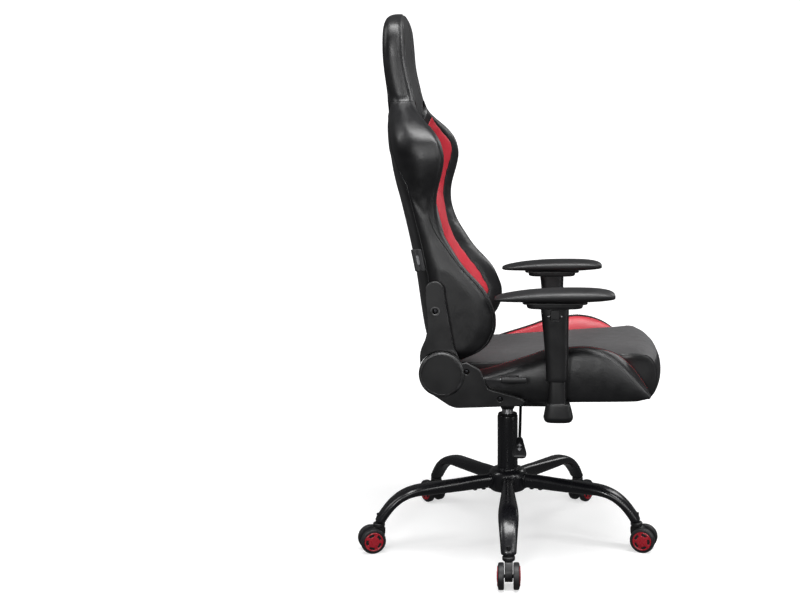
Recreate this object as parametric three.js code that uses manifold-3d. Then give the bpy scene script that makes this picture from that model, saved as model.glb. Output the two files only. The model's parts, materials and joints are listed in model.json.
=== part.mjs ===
// Racing-style gaming chair, in millimetres. +X is forward, +Y is the sitter's left, +Z is up.
// Heights start at the floor. Plan positions start at the gas column's axis; the whole chair is then moved
// by FOOTPRINT_SHIFT so that the origin lies under the middle of its outer box.
import * as THREE from 'three';
import { mergeVertices } from 'three/addons/utils/BufferGeometryUtils.js';
import Module from 'manifold-3d';

const wasm = await Module();
wasm.setup();

// ---------------------------------------------------------------- driving dimensions
const FOOTPRINT_SHIFT = 25;
const GAP = 0.3;
const deg = Math.PI / 180;

const LEGS = 5;
const BASE_TURN = 1.84 * deg;
const FIRST_LEG = -90 * deg;
const HUB_R = 47;
const HUB_SIDES = 24;
const HUB_BOTTOM = 121;
const HUB_TOP = 175;
const SWIVEL_R = 325;
const LEG_END_Z = 70;

const WHEEL_R = 30;
const WHEEL_SIDES = 16;
const TRAIL = 18;
const BODY_HALF = 9;

const TUBE_R = 25;
const TUBE_BOTTOM = 117;
const TUBE_TOP = 310;
const GAS_R = 14;
const GAS_BOTTOM = 132;
const GAS_TOP = 357;

const PLATE_BOTTOM = 386;
const TILT_X = 30;
const TILT_Z = 372;
const KNOB_X = 122;
const KNOB_LOW = 290;
const KNOB_HIGH = 320;
const KNOB_WELL = 299;
const LEVER_X = 33;
const PAN_BOTTOM = 394.5;
const PAN_TOP = 403;

const PIVOT_X = -139;
const PIVOT_Z = 468;
const DISC_R = 51;
const BRACKET_IN = 256.5;
const SIDE_HALF = 250;

const ARM_Y = 274;
const ARM_X = 116.5;

// ---------------------------------------------------------------- geometry helpers
function solidOf(geometry) {
  const bare = new THREE.BufferGeometry();
  bare.setAttribute('position', geometry.getAttribute('position').clone());
  if (geometry.index) bare.setIndex(geometry.index.clone());
  const merged = mergeVertices(bare, 1e-4);
  const mesh = new wasm.Mesh({
    numProp: 3,
    vertProperties: new Float32Array(merged.getAttribute('position').array),
    triVerts: new Uint32Array(merged.index.array),
  });
  return new wasm.Manifold(mesh);
}

function geometryOf(solid) {
  const mesh = solid.getMesh();
  const geometry = new THREE.BufferGeometry();
  geometry.setAttribute('position', new THREE.BufferAttribute(new Float32Array(mesh.vertProperties), 3));
  geometry.setIndex(new THREE.BufferAttribute(new Uint32Array(mesh.triVerts), 1));
  return geometry;
}

function join(first, ...others) {
  return geometryOf(others.reduce((sum, g) => sum.add(solidOf(g)), solidOf(first)));
}

function cut(first, ...others) {
  return mainBody(others.reduce((rest, g) => rest.subtract(solidOf(g)), solidOf(first)));
}

function common(first, second) {
  return mainBody(solidOf(first).intersect(solidOf(second)));
}

// A cut that grazes a surface leaves slivers; the piece is what is left without them.
function mainBody(solid) {
  return geometryOf(solid.decompose().reduce((big, piece) => (piece.volume() > big.volume() ? piece : big)));
}

// A revolved piece about +Z from [radius, height] points that start and end on the axis or close.
function lathe(points, sides, phase = 0) {
  const profile = points.map(([r, z]) => new THREE.Vector2(r, z));
  return new THREE.LatheGeometry(profile, sides, phase).rotateX(Math.PI / 2);
}

// A cylinder between two heights.
function rod(radius, low, high, sides = 16) {
  return lathe([[0, low], [radius, low], [radius, high], [0, high]], sides);
}

function box(x0, x1, y0, y1, z0, z1) {
  const geometry = new THREE.BoxGeometry(x1 - x0, y1 - y0, z1 - z0);
  return geometry.translate((x0 + x1) / 2, (y0 + y1) / 2, (z0 + z1) / 2);
}

// A closed skin over rings of equal point count, from the first ring to the last, with flat ends.
function loft(rings) {
  const n = rings[0].length;
  const positions = rings.flat().flatMap((p) => [p.x, p.y, p.z]);
  const index = [];
  for (let k = 0; k < rings.length - 1; k += 1) {
    for (let i = 0; i < n; i += 1) {
      const a = k * n + i;
      const b = k * n + ((i + 1) % n);
      index.push(a, b, b + n, a, b + n, a + n);
    }
  }
  const ends = [rings[0], rings[rings.length - 1]];
  ends.forEach((ring, end) => {
    const centre = ring.reduce((sum, p) => sum.add(p), new THREE.Vector3()).divideScalar(n);
    const hub = positions.length / 3;
    positions.push(centre.x, centre.y, centre.z);
    const start = end === 0 ? 0 : (rings.length - 1) * n;
    for (let i = 0; i < n; i += 1) {
      const a = start + i;
      const b = start + ((i + 1) % n);
      if (end === 0) index.push(hub, b, a);
      else index.push(hub, a, b);
    }
  });
  const geometry = new THREE.BufferGeometry();
  geometry.setAttribute('position', new THREE.Float32BufferAttribute(positions, 3));
  geometry.setIndex(index);
  return solidOf(geometry).volume() < 0 ? flipped(geometry) : geometry;
}

function flipped(geometry) {
  const index = geometry.index.array;
  for (let i = 0; i < index.length; i += 3) {
    [index[i], index[i + 1]] = [index[i + 1], index[i]];
  }
  return geometry;
}

// Points of a rounded rectangle (a superellipse) about a centre, in the plane of u and v.
function roundRing(centre, u, v, a, b, count, power = 3) {
  const ring = [];
  for (let i = 0; i < count; i += 1) {
    const t = ((i + 0.5) / count) * 2 * Math.PI;
    const c = Math.sign(Math.cos(t)) * Math.abs(Math.cos(t)) ** (2 / power);
    const s = Math.sign(Math.sin(t)) * Math.abs(Math.sin(t)) ** (2 / power);
    ring.push(centre.clone().addScaledVector(u, a * c).addScaledVector(v, b * s));
  }
  return ring;
}

// A smooth function through a few [z, value] points.
function smooth(points) {
  const curve = new THREE.CatmullRomCurve3(points.map(([z, v]) => new THREE.Vector3(z, v, 0)));
  const fine = curve.getPoints(points.length * 12);
  return (z) => {
    if (z <= fine[0].x) return fine[0].y;
    const i = fine.findIndex((p) => p.x >= z);
    if (i < 0) return fine[fine.length - 1].y;
    const low = fine[i - 1];
    const t = (z - low.x) / (fine[i].x - low.x);
    return low.y + t * (fine[i].y - low.y);
  };
}

// An outline in X and Z, made solid between two distances from the middle plane on one side.
function sidePlate(outline, near, far, side, holes = []) {
  const shape = new THREE.Shape(outline.map(toVector2));
  holes.forEach(([x, z, r]) => {
    const hole = new THREE.Path();
    hole.absarc(x, z, r, 0, 2 * Math.PI, true);
    shape.holes.push(hole);
  });
  const depth = far - near;
  const geometry = new THREE.ExtrudeGeometry(shape, { depth, bevelEnabled: false, curveSegments: 4 });
  geometry.rotateX(Math.PI / 2);
  return geometry.translate(0, side > 0 ? far : -near, 0);
}

function toVector2([x, y]) {
  return new THREE.Vector2(x, y);
}

// A round bar along points, smoothed.
function bar(points, radius, steps, sides = 8) {
  const path = new THREE.CatmullRomCurve3(points.map((p) => new THREE.Vector3(...p)), false, 'centripetal');
  const section = new THREE.Shape();
  section.absarc(0, 0, radius, 0, 2 * Math.PI, false);
  const options = { steps, extrudePath: path, bevelEnabled: false, curveSegments: sides / 2 };
  return new THREE.ExtrudeGeometry(section, options);
}

// ---------------------------------------------------------------- materials
const finish = (color, roughness, metalness = 0) => {
  return new THREE.MeshStandardMaterial({ color, roughness, metalness });
};
const glossBlack = () => finish(0x0b0b0d, 0.22, 0.3);
const satinBlack = () => finish(0x141416, 0.5);
const steel = () => finish(0x8b8d90, 0.3, 1);
const darkSteel = () => finish(0x232427, 0.45, 0.8);
const leather = () => finish(0x1b1b1d, 0.45);
const red = () => finish(0xb02330, 0.4);

const chair = new THREE.Group();
chair.position.y = FOOTPRINT_SHIFT;

function add(name, geometry, material, parent = chair) {
  const mesh = new THREE.Mesh(geometry, material);
  mesh.name = name;
  parent.add(mesh);
  return mesh;
}

const sideName = (side) => (side > 0 ? 'left' : 'right');

// ---------------------------------------------------------------- base
function baseHub() {
  return lathe([
    [TUBE_R + GAP, HUB_BOTTOM], [HUB_R - 6, HUB_BOTTOM], [HUB_R, HUB_BOTTOM + 8], [HUB_R, HUB_TOP - 14],
    [HUB_R - 3, HUB_TOP - 7], [HUB_R - 9, HUB_TOP - 2], [TUBE_R + 5, HUB_TOP], [TUBE_R + GAP, HUB_TOP],
    [TUBE_R + GAP, HUB_BOTTOM],
  ], HUB_SIDES);
}

// A pressed tube leg: [radius, height, half width, half thickness] stations from the hub to the caster.
function legTube() {
  const stations = [
    [40, 146, 15, 17], [85, 145, 15.5, 16.8], [125, 143, 17, 16], [190, 141, 21, 14.6],
    [235, 139, 23.2, 12.8], [266, 130, 23.2, 11.3], [292, 112, 21, 11], [312, 89, 18.8, 11],
    [SWIVEL_R - 0.5, LEG_END_Z, 17.3, 11.5],
  ];
  const path = new THREE.CatmullRomCurve3(stations.map(([r, z]) => new THREE.Vector3(r, 0, z)));
  const width = smooth(stations.map(([, , w], i) => [i / (stations.length - 1), w]));
  const thick = smooth(stations.map(([, , , t], i) => [i / (stations.length - 1), t]));
  const across = new THREE.Vector3(0, 1, 0);
  const rings = [];
  const steps = 10;
  for (let k = 0; k <= steps; k += 1) {
    const t = k / steps;
    const along = k === steps ? new THREE.Vector3(0, 0, -1) : path.getTangent(t);
    const up = new THREE.Vector3().crossVectors(along, across).normalize();
    rings.push(roundRing(path.getPoint(t), across, up, width(t), thick(t), 10, 2.5));
  }
  const saddle = rod(HUB_R + 0.8, 60, 200, HUB_SIDES);
  const stemHole = rod(5.8, LEG_END_Z - 5, LEG_END_Z + 25, 12).translate(SWIVEL_R, 0, 0);
  return cut(loft(rings), saddle, stemHole);
}

// The caster's swivelling body, about the swivel axis: stem, collar, central web and wheel axle.
function casterBody() {
  const collar = lathe([
    [0, 50], [8.5, 50], [8.5, 60.8], [14.5, 61.5], [14.5, LEG_END_Z - GAP], [5.3, LEG_END_Z - GAP],
    [5.3, LEG_END_Z + 22], [0, LEG_END_Z + 22],
  ], 12);
  const outline = [[-14, 61], [-12, 36], [0, 21], [22, 17], [31, 28], [26, 46], [13, 61]];
  const web = sidePlate(outline, -BODY_HALF, BODY_HALF, 1);
  const axle = rod(4, -19, 19, 8).rotateX(Math.PI / 2).translate(TRAIL, 0, WHEEL_R);
  return join(collar, web, axle);
}

// A wheel with a blind axle hole and a domed hub cap, lying on one of its flats.
function casterWheel(side) {
  const corner = WHEEL_R / Math.cos(Math.PI / WHEEL_SIDES);
  const wheel = lathe([
    [0, 19.8], [4.4, 19.8], [4.4, BODY_HALF + 1], [corner, BODY_HALF + 1], [corner, 22.5], [21, 23.6],
    [12, 26.6], [0, 27],
  ], WHEEL_SIDES, Math.PI / WHEEL_SIDES);
  wheel.rotateX(side > 0 ? -Math.PI / 2 : Math.PI / 2);
  return wheel.translate(TRAIL, 0, WHEEL_R);
}

add('base_hub', baseHub(), glossBlack());
for (let i = 0; i < LEGS; i += 1) {
  const arm = new THREE.Group();
  arm.rotation.z = FIRST_LEG + BASE_TURN + (i * 2 * Math.PI) / LEGS;
  chair.add(arm);
  add(`leg_${i + 1}`, legTube(), glossBlack(), arm);
  const caster = new THREE.Group();
  caster.position.x = SWIVEL_R;
  arm.add(caster);
  add(`caster_${i + 1}_body`, casterBody(), satinBlack(), caster);
  add(`caster_${i + 1}_wheel_a`, casterWheel(1), red(), caster);
  add(`caster_${i + 1}_wheel_b`, casterWheel(-1), red(), caster);
}

// ---------------------------------------------------------------- gas column
function columnTube() {
  return lathe([
    [5, TUBE_BOTTOM], [TUBE_R, TUBE_BOTTOM], [TUBE_R, TUBE_TOP], [TUBE_R - 3, TUBE_TOP],
    [TUBE_R - 3, TUBE_BOTTOM + 6], [5, TUBE_BOTTOM + 6], [5, TUBE_BOTTOM],
  ], 24);
}

function guideBush() {
  const inner = GAS_R + 0.5;
  return lathe([
    [inner, 215], [TUBE_R - 3.4, 215], [TUBE_R - 3.4, TUBE_TOP + GAP], [TUBE_R - 1, TUBE_TOP + GAP],
    [TUBE_R - 1, TUBE_TOP + 3], [inner, TUBE_TOP + 3], [inner, 215],
  ], 24);
}

function pistonRod() {
  const foot = TUBE_BOTTOM + 6 + GAP;
  return lathe([
    [0, foot], [15, foot], [15, foot + 4], [5, foot + 4], [5, 292], [11.5, 292], [11.5, 300], [0, 300],
  ], 16);
}

function gasCylinder() {
  return lathe([
    [0, GAS_TOP - 14], [12, GAS_TOP - 14], [12, GAS_BOTTOM + 8], [5.6, GAS_BOTTOM + 8], [5.6, GAS_BOTTOM],
    [GAS_R, GAS_BOTTOM], [GAS_R, GAS_TOP], [4.5, GAS_TOP], [4.5, GAS_TOP - 7], [0, GAS_TOP - 7],
  ], 16);
}

add('column_tube', columnTube(), glossBlack());
add('guide_bush', guideBush(), satinBlack());
add('piston_rod', pistonRod(), steel());
add('gas_cylinder', gasCylinder(), steel());
add('gas_release_pin', rod(4.1, GAS_TOP - 1.5, GAS_TOP + 7, 10), steel());

// ---------------------------------------------------------------- tilt mechanism
const HOUSING_FLOOR = 346;
const HOUSING_HALF = 68;

function mechanismHousing() {
  const wall = 3.5;
  const rear = -85;
  const front = 150;
  const outline = [
    [rear, HOUSING_FLOOR], [front, HOUSING_FLOOR], [front, 372], [138, 380], [12, 380], [rear, 357],
  ];
  const block = sidePlate(outline, -HOUSING_HALF, HOUSING_HALF, 1);
  const socket = lathe([[0, 325], [16, 325], [20, HOUSING_FLOOR + 2], [0, HOUSING_FLOOR + 2]], 20);
  const innerHalf = HOUSING_HALF - wall;
  const inside = box(rear + wall, front - wall, -innerHalf, innerHalf, HOUSING_FLOOR + 4, 400);
  const boltSlot = box(KNOB_X - 8, KNOB_X + 16, -6, 6, HOUSING_FLOOR - 5, HOUSING_FLOOR + 10);
  const leverSlot = box(LEVER_X - 9, LEVER_X + 9, -90, -50, HOUSING_FLOOR + 4, HOUSING_FLOOR + 19);
  const bore = rod(GAS_R + 0.5, 320, 360, 20);
  const pinHole = rod(6.6, -90, 90, 16).rotateX(Math.PI / 2).translate(TILT_X, 0, TILT_Z);
  return cut(join(block, socket), inside, boltSlot, leverSlot, bore, pinHole);
}

function seatPlate() {
  const top = PAN_BOTTOM - GAP;
  const plate = box(-130, 165, -88, 88, PLATE_BOTTOM, top);
  const tensionBolt = rod(4, KNOB_LOW + 5, PLATE_BOTTOM + 2, 10).translate(KNOB_X, 0, 0);
  const ears = [1, -1].map((side) => {
    const ear = sidePlate([[8, 388], [13, 368], [23, 363], [37, 363], [47, 368], [52, 388]], 71, 75, side);
    return cut(ear, rod(6.6, -90, 90, 16).rotateX(Math.PI / 2).translate(TILT_X, 0, TILT_Z));
  });
  return join(plate, tensionBolt, ...ears);
}

function tensionKnob() {
  const lobes = 8;
  const steps = lobes * 3;
  const outline = [];
  for (let i = 0; i < steps; i += 1) {
    const angle = (i / steps) * 2 * Math.PI;
    outline.push([24 - (i % 3 === 0 ? 2.5 : 0), angle]);
  }
  const rim = outline.map(([r, a]) => new THREE.Vector2(r * Math.cos(a), r * Math.sin(a)));
  const shape = new THREE.Shape(rim);
  const grip = new THREE.ExtrudeGeometry(shape, { depth: KNOB_HIGH - KNOB_LOW, bevelEnabled: false });
  grip.translate(0, 0, KNOB_LOW);
  const springWell = rod(16, KNOB_WELL, KNOB_HIGH + 5, 16);
  const boltBore = rod(4.5, KNOB_LOW + 4, KNOB_HIGH + 5, 10);
  return cut(grip, springWell, boltBore).translate(KNOB_X, 0, 0);
}

function tensionSpring() {
  const turns = 4;
  const low = KNOB_WELL + 2.2;
  const high = HOUSING_FLOOR - 2.2;
  const steps = turns * 9;
  const points = [];
  for (let i = 0; i <= steps; i += 1) {
    const t = i / steps;
    const angle = t * turns * 2 * Math.PI;
    points.push([KNOB_X + 11.5 * Math.cos(angle), 11.5 * Math.sin(angle), low + t * (high - low)]);
  }
  return bar(points, 1.8, steps, 4);
}

function leverRod() {
  const inner = GAS_TOP + 11.8;
  return bar([
    [0, 14, inner], [0, -4, inner - 0.4], [10, -22, inner - 1.8], [26, -40, 362], [LEVER_X, -62, 356.5],
    [LEVER_X, -84, 350], [LEVER_X, -150, 329], [LEVER_X, -214, 308],
  ], 3.5, 16, 6);
}

// A flat flared paddle that carries on from the rod, slightly less steep.
function leverPaddle() {
  const shape = new THREE.Shape([[-7, 0], [7, 0], [17, 64], [13, 84], [-13, 84], [-17, 64]].map(toVector2));
  const blade = new THREE.ExtrudeGeometry(shape, { depth: 8, bevelEnabled: false });
  blade.translate(0, 0, -4).rotateX(Math.PI).rotateX(15 * deg);
  return blade.translate(LEVER_X, -215, 307.6);
}

function tiltLockBolt() {
  const floor = HOUSING_FLOOR + 4 + GAP;
  return join(
    box(LEVER_X - 5, LEVER_X + 5, -60, 60, floor, floor + 2.5),
    box(LEVER_X - 8, LEVER_X + 8, -60, -48, floor, floor + 2.5),
  );
}

add('mechanism_housing', mechanismHousing(), satinBlack());
add('tilt_pivot_pin', rod(6.1, -80, 80, 16).rotateX(Math.PI / 2).translate(TILT_X, 0, TILT_Z), steel());
add('seat_plate', seatPlate(), satinBlack());
add('tension_knob', tensionKnob(), satinBlack());
add('tension_spring', tensionSpring(), steel());
add('height_lever_rod', leverRod(), satinBlack());
add('height_lever_paddle', leverPaddle(), satinBlack());
add('tilt_lock_bolt', tiltLockBolt(), steel());

// ---------------------------------------------------------------- seat
const PAN_HALF = 236;
const CENTRE_HALF = 178;
const SEAT_REAR = -124;
const PAN_FRONT = 306;

function seatPan() {
  const half = [
    [-124, 0], [-124, PAN_HALF], [-60, PAN_HALF], [-60, BRACKET_IN - GAP], [38, BRACKET_IN - GAP],
    [38, PAN_HALF], [50, PAN_HALF], [50, CENTRE_HALF], [PAN_FRONT, CENTRE_HALF], [PAN_FRONT, 0],
  ];
  const mirrored = half.slice(1, -1).reverse().map(([x, y]) => [x, -y]);
  const shape = new THREE.Shape([...half, ...mirrored].map(toVector2));
  const pan = new THREE.ExtrudeGeometry(shape, { depth: PAN_TOP - PAN_BOTTOM, bevelEnabled: false });
  return pan.translate(0, 0, PAN_BOTTOM);
}

// A cushion block: one side outline lofted across its width, its front drawn in towards both ends.
function acrossSeat(outline, half) {
  const rings = [-1, -0.9, -0.55, 0, 0.55, 0.9, 1].map((t) => outline.map(([x, z]) => {
    const edge = Math.abs(t) ** 6;
    const draw = x > 330 ? 1 - 0.03 * edge : 1;
    const crown = z > 470 ? -4 * edge : 0;
    return new THREE.Vector3(x * draw, t * half, z + crown);
  }));
  return loft(rings);
}

// The centre panel and the wider front roll that it ends in.
function seatCushion() {
  const panel = acrossSeat([
    [SEAT_REAR, PAN_TOP + GAP], [SEAT_REAR, 466], [-112, 477], [-35, 480], [40, 484], [155, 493], [250, 499],
    [300, 502], [328, 498], [328, 400], [310, 400], [308, PAN_TOP + GAP],
  ], CENTRE_HALF - 1);
  const roll = acrossSeat([
    [326, 400], [326, 497], [346, 484], [360, 461], [365, 438], [361, 415], [350, 396], [334, 394],
  ], CENTRE_HALF + 13);
  return join(panel, roll);
}

// A side bolster: cross-sections from the back to the front, ridge height from the side outline.
function seatBolster(side) {
  const ridge = smooth([
    [-122, 456], [-80, 462], [-40, 468], [-5, 479], [30, 490], [60, 500], [90, 511], [140, 517], [175, 520],
    [205, 517], [230, 510], [252, 499], [274, 481], [294, 461], [312, 437], [328, 413],
  ]);
  const under = smooth([[-122, 404], [48, 404], [62, 398], [150, 402], [300, 405], [328, 407]]);
  const stations = [-122, -60, 0, 45, 62, 100, 150, 200, 235, 265, 292, 310, 324];
  const rings = stations.map((x) => {
    const top = ridge(x);
    const low = Math.max(under(x), PAN_TOP + GAP * 2 - (x > 55 ? 6 : 0));
    const inner = CENTRE_HALF + 1.5;
    const lip = Math.max(low + 1, Math.min(top - 3, 478));
    const base = PAN_TOP + GAP * 2;
    const section = [
      [inner, base], [inner, lip - 2], [inner + 18, lip + (top - lip) * 0.35], [inner + 38, top - 5],
      [inner + 52, top], [inner + 62, top - 3], [SIDE_HALF - 2, top - (top - low) * 0.2],
      [SIDE_HALF, top - (top - low) * 0.5], [SIDE_HALF - 1, low + 3], [SIDE_HALF - 6, low],
      [PAN_HALF + 1, low], [PAN_HALF - 4, base],
    ];
    return section.map(([y, z]) => new THREE.Vector3(x, side * y, z));
  });
  return loft(rings);
}

add('seat_pan', seatPan(), satinBlack());
add('seat_cushion', seatCushion(), leather());
[1, -1].forEach((side) => add(`seat_bolster_${sideName(side)}`, seatBolster(side), leather()));

// ---------------------------------------------------------------- recliner
const COVER_IN = 262.3;
const COVER_OUT = 273;

function arcPoints(x, z, r, from, to, count) {
  const points = [];
  for (let i = 0; i <= count; i += 1) {
    const a = (from + ((to - from) * i) / count) * deg;
    points.push([x + r * Math.cos(a), z + r * Math.sin(a)]);
  }
  return points;
}

// The pivot disc and the plate that runs forward under the seat side.
function lowerBracket(side) {
  const outline = [
    ...arcPoints(PIVOT_X, PIVOT_Z, DISC_R, 28, 245, 12), [-124, 397], [-108, 391.5], [-62, 392.5], [30, 397],
    [45, 401], [44, 409], [20, 419], [-36, 434], [-53, 476], [-84, 494],
  ];
  const screws = [[-84, 473, 4], [-10, 412, 4]];
  const cover = sidePlate(outline, COVER_IN, COVER_OUT, side, screws);
  const foot = sidePlate([[-58, 395], [36, 398], [36, 408], [-58, 410]], BRACKET_IN, COVER_IN + 1, side);
  const shaftHole = rod(6.6, -269, 269, 12).rotateX(Math.PI / 2).translate(PIVOT_X, 0, PIVOT_Z);
  return cut(join(cover, foot), shaftHole);
}

// The cover that turns with the backrest, wrapped over the disc, with the steel arm behind it.
function upperBracket(side) {
  const clear = DISC_R + 2.5;
  const cover = sidePlate([
    ...arcPoints(PIVOT_X, PIVOT_Z, clear, 152, 44, 7), [-112, 525], [-116, 550], [-124, 596], [-131, 645],
    ...arcPoints(-153, 652, 21, 10, 170, 5), [-171, 600], [-169, 572], [-174, 548], [-184, 524], [-187, 506],
  ], COVER_IN - GAP * 2, COVER_OUT, side, [[-152, 608, 4.5]]);
  const arm = sidePlate([
    ...arcPoints(PIVOT_X, PIVOT_Z, 38, -150, 0, 8), [-104, 500], [-122, 560], [-136, 650], [-166, 650],
    [-162, 572], [-172, 520],
  ], BRACKET_IN, COVER_IN - GAP, side);
  const spacer = rod(9, SIDE_HALF + GAP * 3, BRACKET_IN + 1, 12).rotateX(-Math.PI / 2);
  if (side < 0) spacer.rotateZ(Math.PI);
  spacer.translate(-152, 0, 608);
  const shaftHole = rod(6.6, -300, 300, 12).rotateX(Math.PI / 2).translate(PIVOT_X, 0, PIVOT_Z);
  return cut(join(cover, arm, spacer), shaftHole);
}

function pivotDisc(side) {
  const disc = lathe([
    [0, COVER_OUT + GAP], [DISC_R - 3, COVER_OUT + GAP], [DISC_R - 3, COVER_OUT + 5],
    [DISC_R - 7, COVER_OUT + 8], [0, COVER_OUT + 9],
  ], 24);
  disc.rotateX(side > 0 ? -Math.PI / 2 : Math.PI / 2);
  return disc.translate(PIVOT_X, 0, PIVOT_Z);
}

// The blade sits inside the right bracket and turns outward over it to carry the grip.
function reclineLever() {
  const blade = sidePlate([
    ...arcPoints(PIVOT_X, PIVOT_Z, 15, 40, 290, 8), [-60, 440], [0, 434], [22, 438], [34, 450], [30, 462],
    [8, 462], [0, 450], [-60, 455],
  ], 250.8, 255.8, -1);
  const tab = box(6, 26, -280, -251, 455, 461);
  const hole = rod(6.6, -300, 300, 12).rotateX(Math.PI / 2).translate(PIVOT_X, 0, PIVOT_Z);
  return cut(join(blade, tab), hole);
}

function leverGrip() {
  const stations = [[-8, 5.2], [-5, 6.6], [10, 7], [40, 7], [47, 6], [49, 4]];
  const up = new THREE.Vector3(0, 0, 1);
  const across = new THREE.Vector3(0, 1, 0);
  const rings = stations.map(([x, r]) => {
    return roundRing(new THREE.Vector3(x, -283, 458), across, up, r, r, 12, 2.2);
  });
  return cut(loft(rings), box(5.6, 26.4, -280.3, -260, 454.6, 461.4));
}

const syncRod = rod(6.1, -268, 268, 12).rotateX(Math.PI / 2).translate(PIVOT_X, 0, PIVOT_Z);
add('recliner_sync_rod', syncRod, steel());
[1, -1].forEach((side) => {
  add(`recliner_lower_bracket_${sideName(side)}`, lowerBracket(side), satinBlack());
  add(`recliner_upper_bracket_${sideName(side)}`, upperBracket(side), satinBlack());
  add(`pivot_disc_${sideName(side)}`, pivotDisc(side), satinBlack());
});
add('recline_lever', reclineLever(), darkSteel());
add('recline_lever_grip', leverGrip(), satinBlack());

// ---------------------------------------------------------------- backrest
const COVER_DEPTH = 10;
const backRear = smooth([
  [490, -180], [540, -192], [592, -200], [690, -213], [762, -227], [834, -243], [894, -257], [953, -265],
  [1047, -270], [1093, -278], [1140, -284], [1186, -287], [1232, -287], [1256, -280], [1264, -266],
]);
const backHalf = smooth([
  [490, 238], [510, 248], [530, 250], [690, 250], [770, 247], [850, 250], [910, 262], [950, 266], [985, 258],
  [1015, 232], [1045, 182], [1070, 150], [1100, 142], [1150, 149], [1200, 151], [1235, 138], [1256, 112],
  [1264, 80],
]);
const panelFront = smooth([
  [490, -112], [530, -104], [580, -112], [640, -132], [716, -158], [775, -172], [836, -188], [895, -207],
  [935, -210], [1026, -206], [1060, -203], [1100, -209], [1150, -216], [1200, -221], [1235, -231],
  [1256, -242], [1264, -250],
]);
const wingFront = smooth([
  [490, -98], [507, -63], [524, -40], [541, -29], [562, -21], [582, -20], [602, -23], [642, -39], [666, -56],
  [702, -86], [740, -109], [775, -128], [813, -140], [857, -147], [909, -140], [938, -136], [961, -139],
  [981, -146], [1004, -163], [1024, -182], [1045, -198], [1070, -203], [1100, -210], [1150, -217],
  [1200, -222], [1235, -232], [1256, -243], [1264, -250],
]);

// How far the rear surface has turned forward near the sides, at each height.
const rearTurn = smooth([[490, 23], [1000, 23], [1080, 17], [1150, 13], [1230, 11], [1264, 3]]);

// Where the rear surface lies at a given distance from the middle, moved forward by an extra amount.
function rearAt(y, z, extra = 0) {
  const t = Math.min(1.1, Math.abs(y) / (0.8 * backHalf(z)));
  return backRear(z) + rearTurn(z) * t * t + extra;
}

const BACK_LEVELS = [
  490, 508, 535, 582, 642, 702, 775, 850, 910, 955, 990, 1020, 1045, 1075, 1140, 1200, 1240, 1264,
];
const SHEET_LEVELS = [460, 540, 620, 700, 790, 880, 960, 1045, 1140, 1215, 1300];

function backSection(z) {
  const w = backHalf(z);
  const rear = (y) => rearAt(y, z);
  const side = rearAt(0.85 * w, z);
  const wing = Math.max(wingFront(z), panelFront(z) + 2);
  const panel = panelFront(z);
  const high = wing - panel;
  const deep = wing - side;
  const half = [
    [rear(0), 0], [rear(0.45 * w), 0.45 * w], [rear(0.82 * w), 0.82 * w],
    [side + Math.min(12, deep * 0.2), 0.97 * w], [side + Math.min(32, deep * 0.45), w],
    [wing - Math.min(30, deep * 0.35), w],
    [wing - Math.min(5, deep * 0.1), w - 8], [wing, w - 24], [wing - high * 0.15, w - 46],
    [panel + high * 0.2, w * 0.6], [panel, w * 0.48], [panel, 0],
  ];
  const left = half.slice(1, -1).reverse().map(([x, y]) => [x, -y]);
  return [...half, ...left].map(([x, y]) => new THREE.Vector3(x, y, z));
}

// Everything from behind the backrest to a given depth in front of its rear surface.
function rearSlab(depth) {
  const ys = [-300, -200, -100, 0, 100, 200, 300];
  const rings = SHEET_LEVELS.map((z) => {
    const near = ys.map((y) => new THREE.Vector3(rearAt(y, z, -60), y, z));
    const far = ys.map((y) => new THREE.Vector3(rearAt(y, z, depth), y, z)).reverse();
    return [...near, ...far];
  });
  return loft(rings);
}

// The tube frame inside the backrest, seen from the front: a tapering loop with two cross bars.
function frameShape(margin) {
  const loop = [[205, 535], [215, 930], [196, 985], [112, 1060], [105, 1190], [70, 1222]];
  const windows = [
    [[181, 559], [183, 640]], [[184, 664], [190, 925]], [[184, 949], [176, 970], [95, 1040]],
    [[86, 1064], [81, 1180], [60, 1198]],
  ];
  const outline = (half, scale) => {
    const middle = (half[0][1] + half[half.length - 1][1]) / 2;
    const right = half.map(([y, z]) => [y * scale, middle + (z - middle) * scale]);
    return [...right, ...right.slice().reverse().map(([y, z]) => [-y, z])].map(toVector2);
  };
  const shape = new THREE.Shape(outline(loop, 1 + margin));
  windows.forEach((half) => shape.holes.push(new THREE.Path(outline(half, 1 - 3 * margin))));
  const prism = new THREE.ExtrudeGeometry(shape, { depth: 400, bevelEnabled: false });
  return prism.rotateX(Math.PI / 2).rotateZ(Math.PI / 2).translate(-350, 0, 0);
}

// One belt opening, right through the backrest beside the neck.
function beltOpening(side) {
  const shape = new THREE.Shape();
  shape.absellipse(0, 0, 36, 21, 0, 2 * Math.PI, false);
  const plug = new THREE.ExtrudeGeometry(shape, { depth: 300, bevelEnabled: false, curveSegments: 8 });
  plug.rotateX(Math.PI / 2).rotateZ(Math.PI / 2);
  return plug.rotateX(side * 24 * deg).translate(-400, side * 96, 1046);
}

const backBody = cut(loft(BACK_LEVELS.map(backSection)), beltOpening(1), beltOpening(-1));
const FRAME_DEPTH = 32;
const frameTubes = cut(common(frameShape(0), rearSlab(FRAME_DEPTH)), rearSlab(COVER_DEPTH + GAP * 2));
const frameChannel = common(frameShape(0.012), rearSlab(FRAME_DEPTH + 1));
add('back_rear_cover', common(backBody, rearSlab(COVER_DEPTH)), leather());
add('back_frame', frameTubes, darkSteel());
add('back_cushion', cut(backBody, rearSlab(COVER_DEPTH + GAP), frameChannel), leather());

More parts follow.
